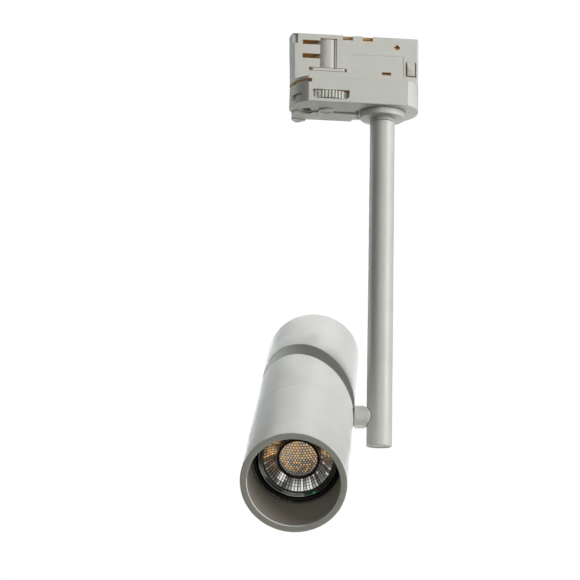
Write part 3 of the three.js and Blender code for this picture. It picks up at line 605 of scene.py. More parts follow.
def build_body():
    left, right = -COVER_STRAIGHT - BULGE_L, COVER_STRAIGHT + BULGE_R
    part = prism(cover_plan(0.1, 44), BASE_TOP, TOP, "adapter_body_shell")
    for vertex in part.data.vertices:       # the left end leans out towards the top
        if vertex.co.z > 0 and vertex.co.x < -COVER_STRAIGHT:
            vertex.co.x -= min(1.0, (-COVER_STRAIGHT - vertex.co.x) / 8)
    boolean(part, box(-60, 60, -BODY_HALF, BODY_HALF, -40, 10), "INTERSECT")
    side_view = ([(left - 2, -33), (right + 1, -33), (right + 1, TOP - 6), (right - 0.1, TOP - 6)]
                 + arc(right - 1.9, TOP - 1.8, 1.8, 0, 90, 8)
                 + arc(left + 0.3, TOP - 1.2, 1.2, 90, 180, 8)
                 + [(left - 0.9, TOP - 6), (left - 2, TOP - 6)])
    boolean(part, prism_y(side_view, -25, 25), "INTERSECT")
    tidy(part)
    bevel(part, 0.3, 3, angle=45)

    # base plate, with a rim that shows at the left end
    rim = prism(cover_plan(0.05, 44), BASE_BOTTOM, -29.75)
    boolean(rim, box(-60, -31.7, -30, 30, -40, 0), "INTERSECT")
    bevel(rim, 0.22, 2, angle=45)
    plate = prism(cover_plan(COVER_WALL + 0.15), BASE_BOTTOM + 0.01, BASE_TOP + 0.05)
    boolean(part, [plate, rim], "UNION")

    inner_half = BODY_HALF - BODY_WALL
    cavity = prism(cover_plan(BODY_WALL + 0.1, 32), -40, TOP - BODY_WALL)
    boolean(cavity, box(-60, 60, -inner_half, inner_half, -50, 10), "INTERSECT")
    boolean(part, cavity)
    for x, y in COVER_SCREWS:
        boolean(part, cylinder(3.2, -43.8, BASE_TOP, x, y, 32), "UNION")
        boolean(part, cylinder(1.6, -60, BASE_BOTTOM - 0.6, x, y, 24))
    # curved plate behind the small window of the cover's left end
    for inset, z0, z1 in ((1.85, -44.6, -40.0), (1.97, -40.1, BASE_TOP)):
        plate = prism(cover_plan(inset, 44), z0, z1)
        boolean(plate, prism(cover_plan(3.0, 44), -50, 0))
        boolean(plate, box(-60, -34, -16.6, -6.6, -60, 0), "INTERSECT")
        boolean(part, plate, "UNION")
    boolean(part, body_openings())
    tidy(part)
    # inside faces get the painted shade and glow
    paint(part, (HOUSING, INSIDE_PAINTED_SHADE_AND_GLOW), body_is_inside)
    place(part, ADAPTER, "adapter", "adapter_body")


def cover_window(left):
    """Outline (x, z) of a side window with cut lower corners."""
    right, corner, top, bend, bottom = left + 24.5, 1.8, -38.9, -43.4, -45.2
    return [(left, top), (left, bend), (left + corner, bottom),
            (right - corner, bottom), (right, bend), (right, top)]


def cover_is_inside(polygon):
    c = polygon.center
    return (plan_depth(c.x, c.y) > COVER_WALL - 0.25
            and abs(c.y) < COVER_HALF - COVER_WALL + 0.25
            and c.z > COVER_BOTTOM + 1.7 and c.z > -44.9)


def build_cover():
    floor_z = COVER_BOTTOM + 1.9
    part = prism(cover_plan(0), COVER_BOTTOM, COVER_TOP, "adapter_cover_shell")
    bevel(part, 0.35, 3, angle=30)
    boolean(part, prism(cover_plan(COVER_WALL), floor_z, COVER_TOP + 5))
    boolean(part, [
        box(-60, -31.5, -30, 30, -34.1, -20),       # lowered rim at the left end
        prism_y(cover_window(-30.6), -22, -10),
        prism_y(cover_window(-33.1), 10, 22)])
    wheel_room = cylinder(WHEEL_R + 0.4, floor_z, COVER_TOP - 4, LOCK_X, segments=96)
    boolean(wheel_room, box(-60, 20, -18.4, 18.4, -60, 0), "INTERSECT")
    boolean(part, wheel_room)
    boolean(part, [
        cylinder(3.8, -50, -40, LOCK_X),
        cylinder(5.4, -50, -40, STEM_X),
        cylinder(3.8, -50, -40, -32.8, 1.6),        # round window over the wheel's ticks
        box(-50, -36.5, -16.1, -7.1, -44.7, -40.9)])    # small window in the left end
    nub = box(0.8, 3.2, -0.2, 3.2, -50.1, COVER_BOTTOM + 0.1)
    bevel(nub, 0.25, 2, angle=40)
    boolean(part, nub, "UNION")
    for x, y in COVER_SCREWS:
        boolean(part, cylinder(3.6, COVER_BOTTOM + 0.5, -44.2, x, y, 32), "UNION")
        boolean(part, [cylinder(1.7, -60, -40, x, y, 24), cylinder(2.8, -50, -45.5, x, y, 32)])
    tidy(part)
    # inside faces get the painted shade and glow
    paint(part, (COVER, INSIDE_PAINTED_SHADE_AND_GLOW), cover_is_inside)
    place(part, ADAPTER, "adapter", "adapter_cover")


def build_cover_screw(number, x, y):
    """Pan screw, head down, with a cross recess."""
    head_bottom, head_top, tip, head_r, shank_r = -47.0, -45.8, -34.0, 2.4, 1.3
    part = lathe(f"cover_screw_{number}_detailed", fillet([
        (0, head_bottom, 0), (head_r * 0.45, head_bottom, 0), (head_r, head_bottom + 0.35, 0.3),
        (head_r, head_top, 0.1), (shank_r, head_top, 0), (shank_r, tip - 1.0, 0),
        (0.3, tip, 0), (0, tip, 0)], steps=3), 32)
    reach, half, depth = head_r * 0.62, 0.28, (head_bottom - 0.5, head_bottom + 0.6)
    boolean(part, [box(-reach, reach, -half, half, *depth),
                   box(-half, half, -reach, reach, *depth)])
    part.data.transform(Matrix.Translation((x, y, 0)))
    place(part, ADAPTER, "adapter", f"cover_screw_{number}", STEEL)


# ---- lock: drum, cam, lever, all about the lock's axis
def build_drum():
    top, bottom, shaft_r, shaft_bottom = -0.2, -20.5, 3.4, -48.3
    part = lathe("contact_drum_detailed", fillet([
        (0, top, 0), (DRUM_R, top, 0.4), (DRUM_R, bottom, 0.3), (shaft_r, bottom, 0),
        (shaft_r, shaft_bottom, 0.3), (0, shaft_bottom, 0)], steps=3), 96)
    # contact slots: middle height and direction
    for z, angle in ((-3.1, 180), (-12.75, 180), (-7.85, 0), (-17.4, 0)):
        slot = box(4.2, 20, -3.2, 3.2, z - 0.95, z + 0.95)
        slot.data.transform(Matrix.Rotation(radians(angle), 4, "Z"))
        boolean(part, slot)
    for rib in (box(4.6, 5.3, -9.5, -6.0, -20.4, -0.3), box(-5.3, -4.6, 6.0, 9.5, -20.4, -0.3)):
        bevel(rib, 0.12, 2, angle=40)
        boolean(part, rib, "UNION")
    tidy(part)
    place(part, LOCK, "lock", "contact_drum", DRUM)


def build_cam():
    part = cylinder(CAM_R, -22.8, -20.8, segments=96, name="locking_cam_detailed")
    boolean(part, box(-22, 22, -9.5, 9.5, -30, -20), "INTERSECT")
    bevel(part, 0.25, 3, angle=40)
    boolean(part, cylinder(3.7, -30, -20))
    tidy(part)
    place(part, LOCK, "lock", "locking_cam", WHITE)


def build_lever():
    heights = (LEVER_BOTTOM, LEVER_TOP)
    # the left edge follows the cover's end
    end = [(x - LOCK_X, y) for x, y in cover_plan(0.15, 40)]
    end = sorted([p for p in end if p[0] < -14.0 and 9.0 < p[1] < 19.1], key=lambda p: -p[1])
    part = prism([(19.9, 3.0), (19.9, 19.2), (-13.8, 19.2)] + end + [(-20.6, 3.0)], *heights,
                 "lock_lever_detailed")
    # finger tab and the lip below it: x, y, corner radius
    tab = prism(fillet([
        (-22.0, 11.6, 1.0), (-21.3, 19.6, 1.5), (-18.6, 24.6, 1.4),
        (-15.9, 25.0, 1.4), (-11.0, 18.6, 1.0), (-14.4, 12.0, 1.0)], True, 4), *heights)
    lip = prism(fillet([
        (-21.6, 16.6, 0.8), (-21.2, 19.9, 1.2), (-18.6, 24.6, 1.4),
        (-15.9, 25.0, 1.4), (-11.3, 19.7, 0.5), (-12.4, 19.5, 0.5)], True, 4), -49.4, -48.5)
    boolean(part, [tab, lip, cylinder(5.2, *heights), box(-4.6, 4.6, 0, 6, *heights)], "UNION")
    tidy(part)
    boolean(part, [cylinder(3.6, -52, -40, segments=40), cylinder(5.0, -52, -40, -13.2, 1.6)])
    tidy(part)
    place(part, LOCK, "lock", "lock_lever", LEVER)


def build_wheel():
    """Selector wheel with rounded ribs on its rim."""
    teeth, steps, rib_height = 54, 10, 1.25
    outline = []
    for i in range(teeth * steps):
        phase = (i % steps) / steps
        swell = 0.5 + 0.5 * cos(2 * pi * (phase - 0.5))
        radius = WHEEL_R - rib_height + rib_height * min(1.0, 2.1 * swell) ** 0.55
        angle = 2 * pi * i / (teeth * steps)
        outline.append((radius * cos(angle), radius * sin(angle)))
    part = prism(outline, -44.6, -39.4, "selector_wheel_detailed")
    bevel(part, 0.2, 2, angle=60)
    boolean(part, cylinder(3.8, -60, -20))
    # one, two and three ticks sunk into the underside
    for group, angle in enumerate((173.0, 128.0, 218.0)):
        for j in range(group + 1):
            tick = box(11.2, 14.6, -0.35, 0.35, -44.9, -44.3)
            shift = Matrix.Translation((0, (j - group / 2) * 1.5, 0))
            tick.data.transform(Matrix.Rotation(radians(angle), 4, "Z") @ shift)
            boolean(part, tick)
    tidy(part)
    place(part, LOCK, "selector", "selector_wheel", LEVER)


def build_latch():
    part = box(34.2, 39.5, -BODY_HALF, -BODY_HALF + 1.5, -23.3, -13.96, "spring_latch_detailed")
    bevel(part, 0.12, 2, angle=40)
    # wedge that falls away towards its lower left corner
    root, proud, low = -BODY_HALF + 0.3, -BODY_HALF - 1.0, -BODY_HALF - 0.03
    tooth = mesh_object(
        "cutter",
        [(34.3, root, -16.9), (39.4, root, -22.6), (34.3, root, -23.2),
         (34.3, proud, -16.9), (39.4, proud, -22.6), (34.3, low, -23.2)],
        [[0, 1, 2], [3, 5, 4], [0, 3, 4, 1], [1, 4, 5, 2], [2, 5, 3, 0]])
    boolean(part, outward(tooth), "UNION")
    tidy(part)
    place(part, ADAPTER, "latch", "spring_latch", HOUSING)


build_body()
build_cover()
for index, (screw_x, screw_y) in enumerate(COVER_SCREWS):
    build_cover_screw(index + 1, screw_x, screw_y)
build_drum()
build_cam()
build_lever()
build_wheel()
build_latch()


# ---------------------------------------------------------------- stem
def build_flange():
    bore, collar_bottom = 5.25, FLANGE_BOTTOM - 2.4
    part = lathe("stem_flange_detailed", fillet([
        (bore, collar_bottom, 0), (ROD_R, collar_bottom, 0.35), (ROD_R, FLANGE_BOTTOM, 0.5),
        (FLANGE_R, FLANGE_BOTTOM, 0.5), (FLANGE_R, FLANGE_TOP, 0.25), (bore, FLANGE_TOP, 0)],
        True, 4), 128)
    place(part, STEM, "stem", "stem_flange", STEM_WHITE)


def build_tube():
    bore = 6.9
    part = lathe("stem_tube_detailed", fillet([
        (bore, ROD_TOP, 0), (ROD_R, ROD_TOP, 0.35), (ROD_R, ROD_BOTTOM, 1.3),
        (bore, ROD_BOTTOM, 0.3)], True, 6), 96)
    boolean(part, cylinder_x(STUB_BORE, -12, 0, PIVOT_Z, 40))
    place(part, STEM, "stem", "stem_tube", STEM_WHITE)


def build_end_cap():
    bottom, inner, top = ROD_BOTTOM + 0.45, ROD_BOTTOM + 2.5, ROD_BOTTOM + 7
    part = lathe("stem_end_cap_detailed", fillet([
        (0, bottom, 0), (6.6, bottom, 0.3), (6.6, top, 0.3), (5.4, top, 0), (5.4, inner, 0),
        (0, inner, 0)], steps=4), 64)
    place(part, STEM, "stem", "stem_end_cap", GROOVE)


def stub_light_and_shade(polygon):
    # 0 plain; 1 painted highlight on the chamfer ring; 2 painted shade further in, towards the
    # bore
    c = polygon.center
    radius = hypot(c.y, c.z - PIVOT_Z)
    if c.x > -13 and radius < STUB_R - 0.01:
        return 1 if radius > STUB_R - 1.0 else 2
    return 0


def build_stub():
    """Side stub along X: flat towards the head, rounded saddle towards the stem."""
    segments = 96
    head_x = -OFFSET + 33.0
    saddle_r = ROD_R + 0.4
    # sections: radius, whether on the saddle (or else at head_x), shift in X
    sections = [(STUB_BORE, False, 0), (STUB_R - 0.45, False, 0), (STUB_R, False, 0.45),
                (STUB_R, False, 3.0)]
    for k in range(7):
        angle = radians(15 * k)
        sections.append((STUB_R - 1.5 * (1 - cos(angle)), True, -1.7 * (1 - sin(angle))))
    sections.append((STUB_BORE, True, 0))
    verts, rings = [], []
    for radius, on_saddle, shift in sections:
        rings.append(list(range(len(verts), len(verts) + segments)))
        for k in range(segments):
            turn = 2 * pi * k / segments
            y = radius * cos(turn)
            x = -sqrt(saddle_r * saddle_r - y * y) if on_saddle else head_x
            verts.append((x + shift, y, PIVOT_Z + radius * sin(turn)))
    part = outward(mesh_object("pivot_stub_detailed", verts, ring_faces(rings)))
    paint(part, (STEM_WHITE, STUB_CHAMFER_PAINTED_HIGHLIGHT, STUB_GAP_PAINTED_SHADE), stub_light_and_shade)
    place(part, STEM, "stem", "pivot_stub", smooth=28)


build_flange()
build_tube()
build_end_cap()
build_stub()


# ---------------------------------------------------------------- head
def oblique(point, turn):
    """Height of a profile point (r, z, tag); tag 1 lies on the oblique cut, tag 0 is level."""
    radius, z, tag = point
    return z + tag * (CUT_X * radius * cos(turn) + CUT_Y * radius * sin(turn))


def build_head_body():
    cut_inner = CUT_FRONT + 2.5 * CUT_STRETCH
    # r, z, corner radius, on the oblique cut
    part = lathe("head_body_detailed", fillet([
        (25.0, CUT_FRONT, 0, 1), (HEAD_R, CUT_FRONT, 0.55, 1), (HEAD_R, SEAM_Z - 0.12, 0, 0),
        (HEAD_R - 0.12, SEAM_Z, 0, 0), (29.8, SEAM_Z, 0, 0), (29.8, 35.0, 0.4, 0),
        (28.3, 35.0, 0, 0), (28.3, 20.5, 0, 0), (15.0, 20.5, 0, 0), (15.0, 18.0, 0, 0),
        (25.0, 18.0, 0, 0), (28.3, 17.99, 0, 0), (28.3, 17.5, 0, 0),
        (28.3, cut_inner, 0, 1), (25.0, cut_inner, 0, 1)], True, 5), 128, oblique)
    boolean(part, [
        cylinder_x(6.7, 20, 40, segments=64), cylinder_x(4.0, -40, -20),
        cylinder(1.6, 10, 30, 13.1, 13.1, 20), cylinder(1.6, 10, 30, -13.1, -13.1, 20)])
    tidy(part)
    place(part, HEAD, "head", "head_body", WHITE, smooth=28)


def on_groove_face(polygon):
    c = polygon.center
    return (abs(polygon.normal.z) > 0.4 and c.z > REAR_Z + 6
            and 24 < hypot(c.x, c.y) < HEAD_R - 0.3)


def build_rear_can():
    cut_inner = CUT_REAR - 2.5 * CUT_STRETCH
    outside = fillet([
        (24.9, CUT_REAR, 0, 1), (HEAD_R, CUT_REAR, 0.55, 1), (HEAD_R, REAR_Z, 1.5, 0),
        (0, REAR_Z, 0, 0)], steps=6)[::-1]
    # r, z, on the oblique cut
    inside = [
        (24.9, cut_inner, 1), (30.2, cut_inner, 1), (30.2, REAR_Z + 2.6, 0),
        (5.0, REAR_Z + 2.6, 0), (5.0, -62.5, 0), (1.8, -62.5, 0), (1.8, -84.0, 0), (0, -84.0, 0)]
    part = lathe("rear_can_detailed", outside + inside, 128, oblique)
    # painted light: how strongly the groove face glows, growing towards the head's left; the face
    # also gets painted shade
    attribute(part, "left", [max(0.0, -v.co.x / HEAD_R) for v in part.data.vertices])
    paint(part, (WHITE, GROOVE_PAINTED_LIGHT), on_groove_face)
    place(part, HEAD, "head", "rear_can", smooth=28)


def build_neck():
    inner, rear, front = 21.4, -62.0, 17.3
    part = lathe("neck_detailed", fillet([
        (inner, rear, 0), (NECK_R, rear, 0.4), (NECK_R, front, 0.4), (inner, front, 0)],
        True, 3), 96)
    boss, hole = 13.493, 13.1
    boolean(part, [
        box(14.0, 22.6, -8.0, 8.0, -8.5, 8.5),
        cylinder(3.4, -10, 5.5, 0, 19.0, 24), cylinder(3.4, -10, 5.5, 0, -19.0, 24),
        cylinder(3.3, 0, front, boss, boss, 24), cylinder(3.3, 0, front, -boss, -boss, 24),
        cylinder(21.8, rear, -59.8, segments=64)], "UNION")
    boolean(part, [
        cylinder_x(5.1, 10, 30, segments=40), cylinder_x(4.6, -30, -15, segments=40),
        cylinder(1.6, -20, 20, 0, 19.0, 20), cylinder(1.6, -20, 20, 0, -19.0, 20),
        cylinder(1.6, 4, 20, hole, hole, 20), cylinder(1.6, 4, 20, -hole, -hole, 20),
        cylinder(1.8, -70, -50, segments=20), cylinder(3.0, -70, -50, 12, 0, 24)])
    tidy(part)
    place(part, HEAD, "head", "neck", GROOVE, smooth=28)


def barrel_light_and_shade(polygon):
    """0 outside, 1 front ring in painted shade, 2 inside in painted shade, 3 painted highlight on
    the lower left part of the ring's inner edge.
    """
    radius, angle = polar(polygon.center)
    z = polygon.center.z
    if radius < OPENING_R + 0.42 and z > FRONT_Z - 0.5 and 176 < angle < 284:
        return 3
    if radius > HEAD_R - 0.3:
        return 0
    in_bore = radius < OPENING_R + 0.6 and z < FRONT_Z - 0.5
    return 1 if z > FRONT_Z - 0.02 or (z > FRONT_Z - 0.6 and not in_bore) else 2


def build_barrel():
    inner, rear = 30.1, SEAM_Z + 0.16
    part = lathe("front_barrel_detailed", fillet([
        (inner, rear, 0), (HEAD_R, rear, 0.12), (HEAD_R, FRONT_Z, 0.5),
        (OPENING_R, FRONT_Z, 0.55), (OPENING_R, 77.0, 0), (inner, 75.8, 0)], True, 5), 160)
    paint(part, (WHITE, RING_PAINTED_SHADE, BARREL_INSIDE_PAINTED_SHADE, RING_EDGE_PAINTED_HIGHLIGHT), barrel_light_and_shade)
    place(part, HEAD, "barrel", "front_barrel", smooth=40)


def build_sleeve():
    part = lathe("lamp_sleeve_detailed", fillet([
        (26.5, 20.8, 0), (27.9, 20.8, 0), (27.9, 75.2, 0.6), (25.5, 75.2, 0.5),
        (25.5, 73.6, 0), (26.5, 72.6, 0)], True, 4), 160)
    rng = random.Random(3)

    def is_speckled(polygon):
        radius, angle = polar(polygon.center)
        return (radius > 27.22 and polygon.center.z > 74.4 and 182 < angle < 266
                and rng.random() < 0.66)

    paint(part, (BLACK, SPECKLED), is_speckled)
    place(part, HEAD, "head", "lamp_sleeve")


build_head_body()
build_rear_can()
build_neck()
build_barrel()
build_sleeve()


# ---------------------------------------------------------------- lamp materials
# The tone, amber and green attributes carry painted light (painted reflections, highlights,
# glints and shade), set per part below.
def shell_material():
    shader = Shader("lamp_shell_white")
    colour = (0.55, 0.54, 0.52)
    return shader.set(
        Base_Color=shader.mottle(60, low=Vector(colour) * 0.9, high=colour),
        Roughness=shader.mottle(200, low=0.3, high=0.42),
        Normal=shader.relief(1800, strength=0.4, distance=0.00002, detail=2))


def facet_material():
    shader = Shader("reflector_facets")
    # painted reflections: tone sets each facet's reflected brightness, amber its reflected amber
    # light; both also glow as painted light
    tone, amber = shader.attribute("tone"), shader.attribute("amber")
    base = shader.ramp(tone, [
        (0.0, (0.05, 0.05, 0.047)), (0.5, (0.44, 0.43, 0.40)), (1.0, (0.98, 0.98, 0.95))])
    base = shader.mix(amber, base, (0.95, 0.46, 0.10))
    strength = shader.math("MULTIPLY_ADD", amber, 0.85, shader.math("MULTIPLY", tone, 0.72))
    return shader.set(
        Base_Color=base, Metallic=0.85, Emission_Color=base, Emission_Strength=strength,
        Roughness=shader.mottle(900, low=0.10, high=0.24),
        Normal=shader.relief(2500, strength=0.25, distance=0.00002, detail=2))


def optic_material():
    shader = Shader("dimpled_optic")
    # painted light: tone sets the lens's brightness and highlights, amber the painted amber light
    # in the dimples; the lens glows a little everywhere
    tone, amber = shader.attribute("tone"), shader.attribute("amber")
    base = shader.ramp(tone, [
        (0.0, (0.03, 0.029, 0.025)), (0.5, (0.36, 0.345, 0.305)), (1.0, (0.92, 0.91, 0.86))])
    base = shader.mix(amber, base, (1.0, 0.46, 0.045))
    return shader.set(
        Base_Color=base, Coat_Weight=0.8, Coat_Roughness=0.05, IOR=1.49,
        Roughness=shader.mottle(1500, low=0.08, high=0.2, detail=2), Emission_Color=base,
        Emission_Strength=shader.math("MULTIPLY_ADD", amber, 0.72, 0.24))


def rim_material():
    shader = Shader("clear_rim")
    # painted highlights: tone sets the rim's bright circles; green sets painted green glints,
    # which glow
    tone, green = shader.attribute("tone"), shader.attribute("green")
    base = shader.ramp(tone, [
        (0.0, (0.05, 0.06, 0.06)), (0.55, (0.30, 0.32, 0.31)), (1.0, (0.75, 0.77, 0.76))])
    base = shader.mix(green, base, (0.0, 0.55, 0.42))
    return shader.set(
        Base_Color=base, Coat_Weight=1.0, Coat_Roughness=0.03, Specular_IOR_Level=0.6,
        Roughness=shader.mottle(1200, low=0.08, high=0.22), Emission_Color=base,
        Emission_Strength=shader.math("MULTIPLY", green, 0.5),
        Normal=shader.relief(500, strength=0.3, distance=0.00005))


def lens_ring_material():
    shader = Shader("lens_ring_satin")
    return shader.set(
        Base_Color=shader.mottle(300, low=(0.035, 0.035, 0.033), high=(0.085, 0.085, 0.08),
                                 detail=4),
        Metallic=0.8, Roughness=shader.mottle(700, low=0.25, high=0.4),
        Normal=shader.relief(1600, strength=0.3, distance=0.00002, detail=2))


def led_material():
    shader = Shader("led_phosphor_amber")
    base = shader.mottle(700, low=(0.85, 0.42, 0.06), high=(1.0, 0.62, 0.14))
    return shader.set(
        Base_Color=base, Roughness=0.5, Emission_Color=base, Emission_Strength=0.6,
        Normal=shader.relief(900, strength=0.3, distance=0.00005, detail=2))


SHELL = shell_material()
FACETS = facet_material()
OPTIC = optic_material()
CLEAR_RIM = rim_material()
LENS_RING = lens_ring_material()
PHOSPHOR = led_material()

# ---------------------------------------------------------------- lamp
LAMP_SEAT = HEAD @ Matrix.Translation((0.35, 0.0, 0.9))
OPTIC_SEAT = HEAD @ Matrix.Translation((0.55, 0.0, 3.5))
LENS_R = 11.9


def build_lamp_body():
    part = lathe("lamp_body_detailed", fillet([
        (0, 23.0, 0), (11.0, 23.0, 0.5), (11.0, 33.0, 1.0), (14.0, 36.0, 2.0),
        (18.0, 44.0, 8.0), (22.0, 54.0, 8.0), (24.4, 64.0, 4.0), (24.4, 69.0, 0.2),
        (23.6, 69.0, 0.2), (23.2, 64.2, 0.5), (20.4, 56.6, 0.3), (0, 56.6, 0)], steps=4), 96)
    place(part, LAMP_SEAT, "lamp", "lamp_body", SHELL)


def build_led_board():
    part = lathe("led_board_detailed", fillet([
        (0, 57.0, 0), (12.6, 57.0, 0.2), (12.6, 58.4, 0.2), (0, 58.4, 0)], steps=3), 64)
    place(part, LAMP_SEAT, "lamp", "led_board", PHOSPHOR)


def close_dish(part):
    """Merge the facets' borders, then add a back shell behind the dish."""
    bm = bmesh.new()
    bm.from_mesh(part.data)
    bmesh.ops.remove_doubles(bm, verts=bm.verts, dist=1e-4)
    edges = [e for e in bm.edges if e.is_boundary
             and hypot(e.verts[0].co.x, e.verts[0].co.y) >= 16]
    # r and z of the shell, from the outer lip back to the inner edge
    for r, z in ((22.6, 70.9), (22.6, 69.6), (21.0, 69.0), (17.8, 65.0), (13.6, 61.0)):
        extruded = bmesh.ops.extrude_edge_only(bm, edges=edges)["geom"]
        for vertex in extruded:
            if isinstance(vertex, bmesh.types.BMVert):
                length = hypot(vertex.co.x, vertex.co.y)
                vertex.co.x *= r / length
                vertex.co.y *= r / length
                vertex.co.z = z
        edges = [e for e in extruded if isinstance(e, bmesh.types.BMEdge)]
    bmesh.ops.bridge_loops(bm, edges=[e for e in bm.edges if e.is_boundary])
    bmesh.ops.recalc_face_normals(bm, faces=bm.faces)
    bm.to_mesh(part.data)
    bm.free()


def build_reflector(rng):
    """Dish of five rings of pillowed facets, each a 3 x 3 patch."""
    sectors, cells, pillow = 66, 3, 0.16
    rows = [(13.6, 62.6), (15.4, 64.0), (17.0, 65.5),      # r, z between the rings
            (18.2, 67.05), (19.4, 68.9), (20.5, 70.9)]
    verts, faces, tones, ambers = [], [], [], []
    # random brightness and warmth of each sector's painted reflection
    streak = [rng.random() for _ in range(sectors)]
    warm = [rng.uniform(0.35, 1.3) for _ in range(sectors)]
    for j, ((r0, z0), (r1, z1)) in enumerate(zip(rows, rows[1:])):
        normal_r, normal_z = -(z1 - z0), r1 - r0
        length = hypot(normal_r, normal_z)
        for i in range(sectors):
            a0, a1 = 2 * pi * i / sectors, 2 * pi * (i + 1) / sectors
            middle = (a0 + a1) / 2
            angle, up, side = degrees(middle), sin(middle), cos(middle)
            # painted amber reflection at the left and right of the upper half, strongest in the
            # middle rings
            amber = (exp(-((up - 0.26) / 0.66) ** 2) * (0.15 + 0.85 * abs(side))
                     * (1.0 if side < 0 else 0.85))
            amber = clamp(amber * warm[i] * rng.uniform(0.5, 1.2) * (1.0 if 0 < j < 4 else 0.45))
            # white glints below (282) and lower left (232)
            white = (exp(-((angle - 282) / 26) ** 2) * (0.25 + 0.28 * j)
                     + 1.7 * exp(-((angle - 232) / 7.5) ** 2) * (1.0 if 1 <= j <= 3 else 0.15))
            tone = (0.16 + 0.34 * streak[i] * rng.uniform(0.5, 1.2)
                    + white * (0.35 + 0.75 * streak[i]) + (0.3 if rng.random() < 0.08 else 0))
            first = len(verts)
            for v in range(cells + 1):
                for u in range(cells + 1):
                    fu, fv = u / cells, v / cells
                    a = a0 + (a1 - a0) * fu
                    bulge = pillow * (1 - (2 * fu - 1) ** 2) * (1 - (2 * fv - 1) ** 2)
                    r = r0 + (r1 - r0) * fv + bulge * normal_r / length
                    z = z0 + (z1 - z0) * fv + bulge * normal_z / length
                    verts.append((r * cos(a), r * sin(a), z))
            for v in range(cells):
                for u in range(cells):
                    corner = first + v * (cells + 1) + u
                    above = corner + cells + 1
                    faces.append([corner, corner + 1, above + 1, above])
                    # painted shade: the first column and row are darkened as the facet's dark
                    # border
                    shade = 0.30 if u == 0 else (0.55 if v == 0 else 1.0)
                    tones.append(clamp(tone * shade))
                    ambers.append(amber if shade == 1.0 else amber * 0.35)
    part = mesh_object("lamp_reflector_facets", verts, faces)
    part.data.name = "reflector_front"
    attribute(part, "tone", tones, "FACE")
    attribute(part, "amber", ambers, "FACE")
    close_dish(part)
    place(part, LAMP_SEAT, "lamp", "lamp_reflector", FACETS,
          smooth=6, weighted=False)


def build_lens_ring():
    part = lathe("lens_ring_detailed", fillet([
        (LENS_R, 58.0, 0), (13.3, 58.0, 0.1), (13.3, 69.3, 0.35), (12.6, 69.7, 0.1),
        (12.45, 69.5, 0.1), (LENS_R, 69.5, 0.2)], True, 4), 96)
    place(part, OPTIC_SEAT, "lamp", "lens_ring", LENS_RING)


def dimple_finder(pitch, rng):
    """A function that gives the glow of the dimple nearest to x, y and the distance to it."""
    def cell(x, y):
        return floor(x / pitch), floor(y / pitch)

    cells = {}
    for j in range(-18, 19):            # hexagonal packing
        for i in range(-18, 19):
            x = (i + 0.5 * (j % 2)) * pitch
            y = j * (pitch * sqrt(3) / 2)
            if hypot(x, y) < LENS_R + 0.6:
                cells.setdefault(cell(x, y), []).append((x, y, rng.random()))

    def nearest(x, y):
        column, row = cell(x, y)
        near = [((c[0] - x) ** 2 + (c[1] - y) ** 2, c[2])
                for a in (-1, 0, 1) for b in (-1, 0, 1)
                for c in cells.get((column + a, row + b), ())]
        distance, glow = min(near, key=lambda entry: entry[0])
        return glow, sqrt(distance)

    return nearest


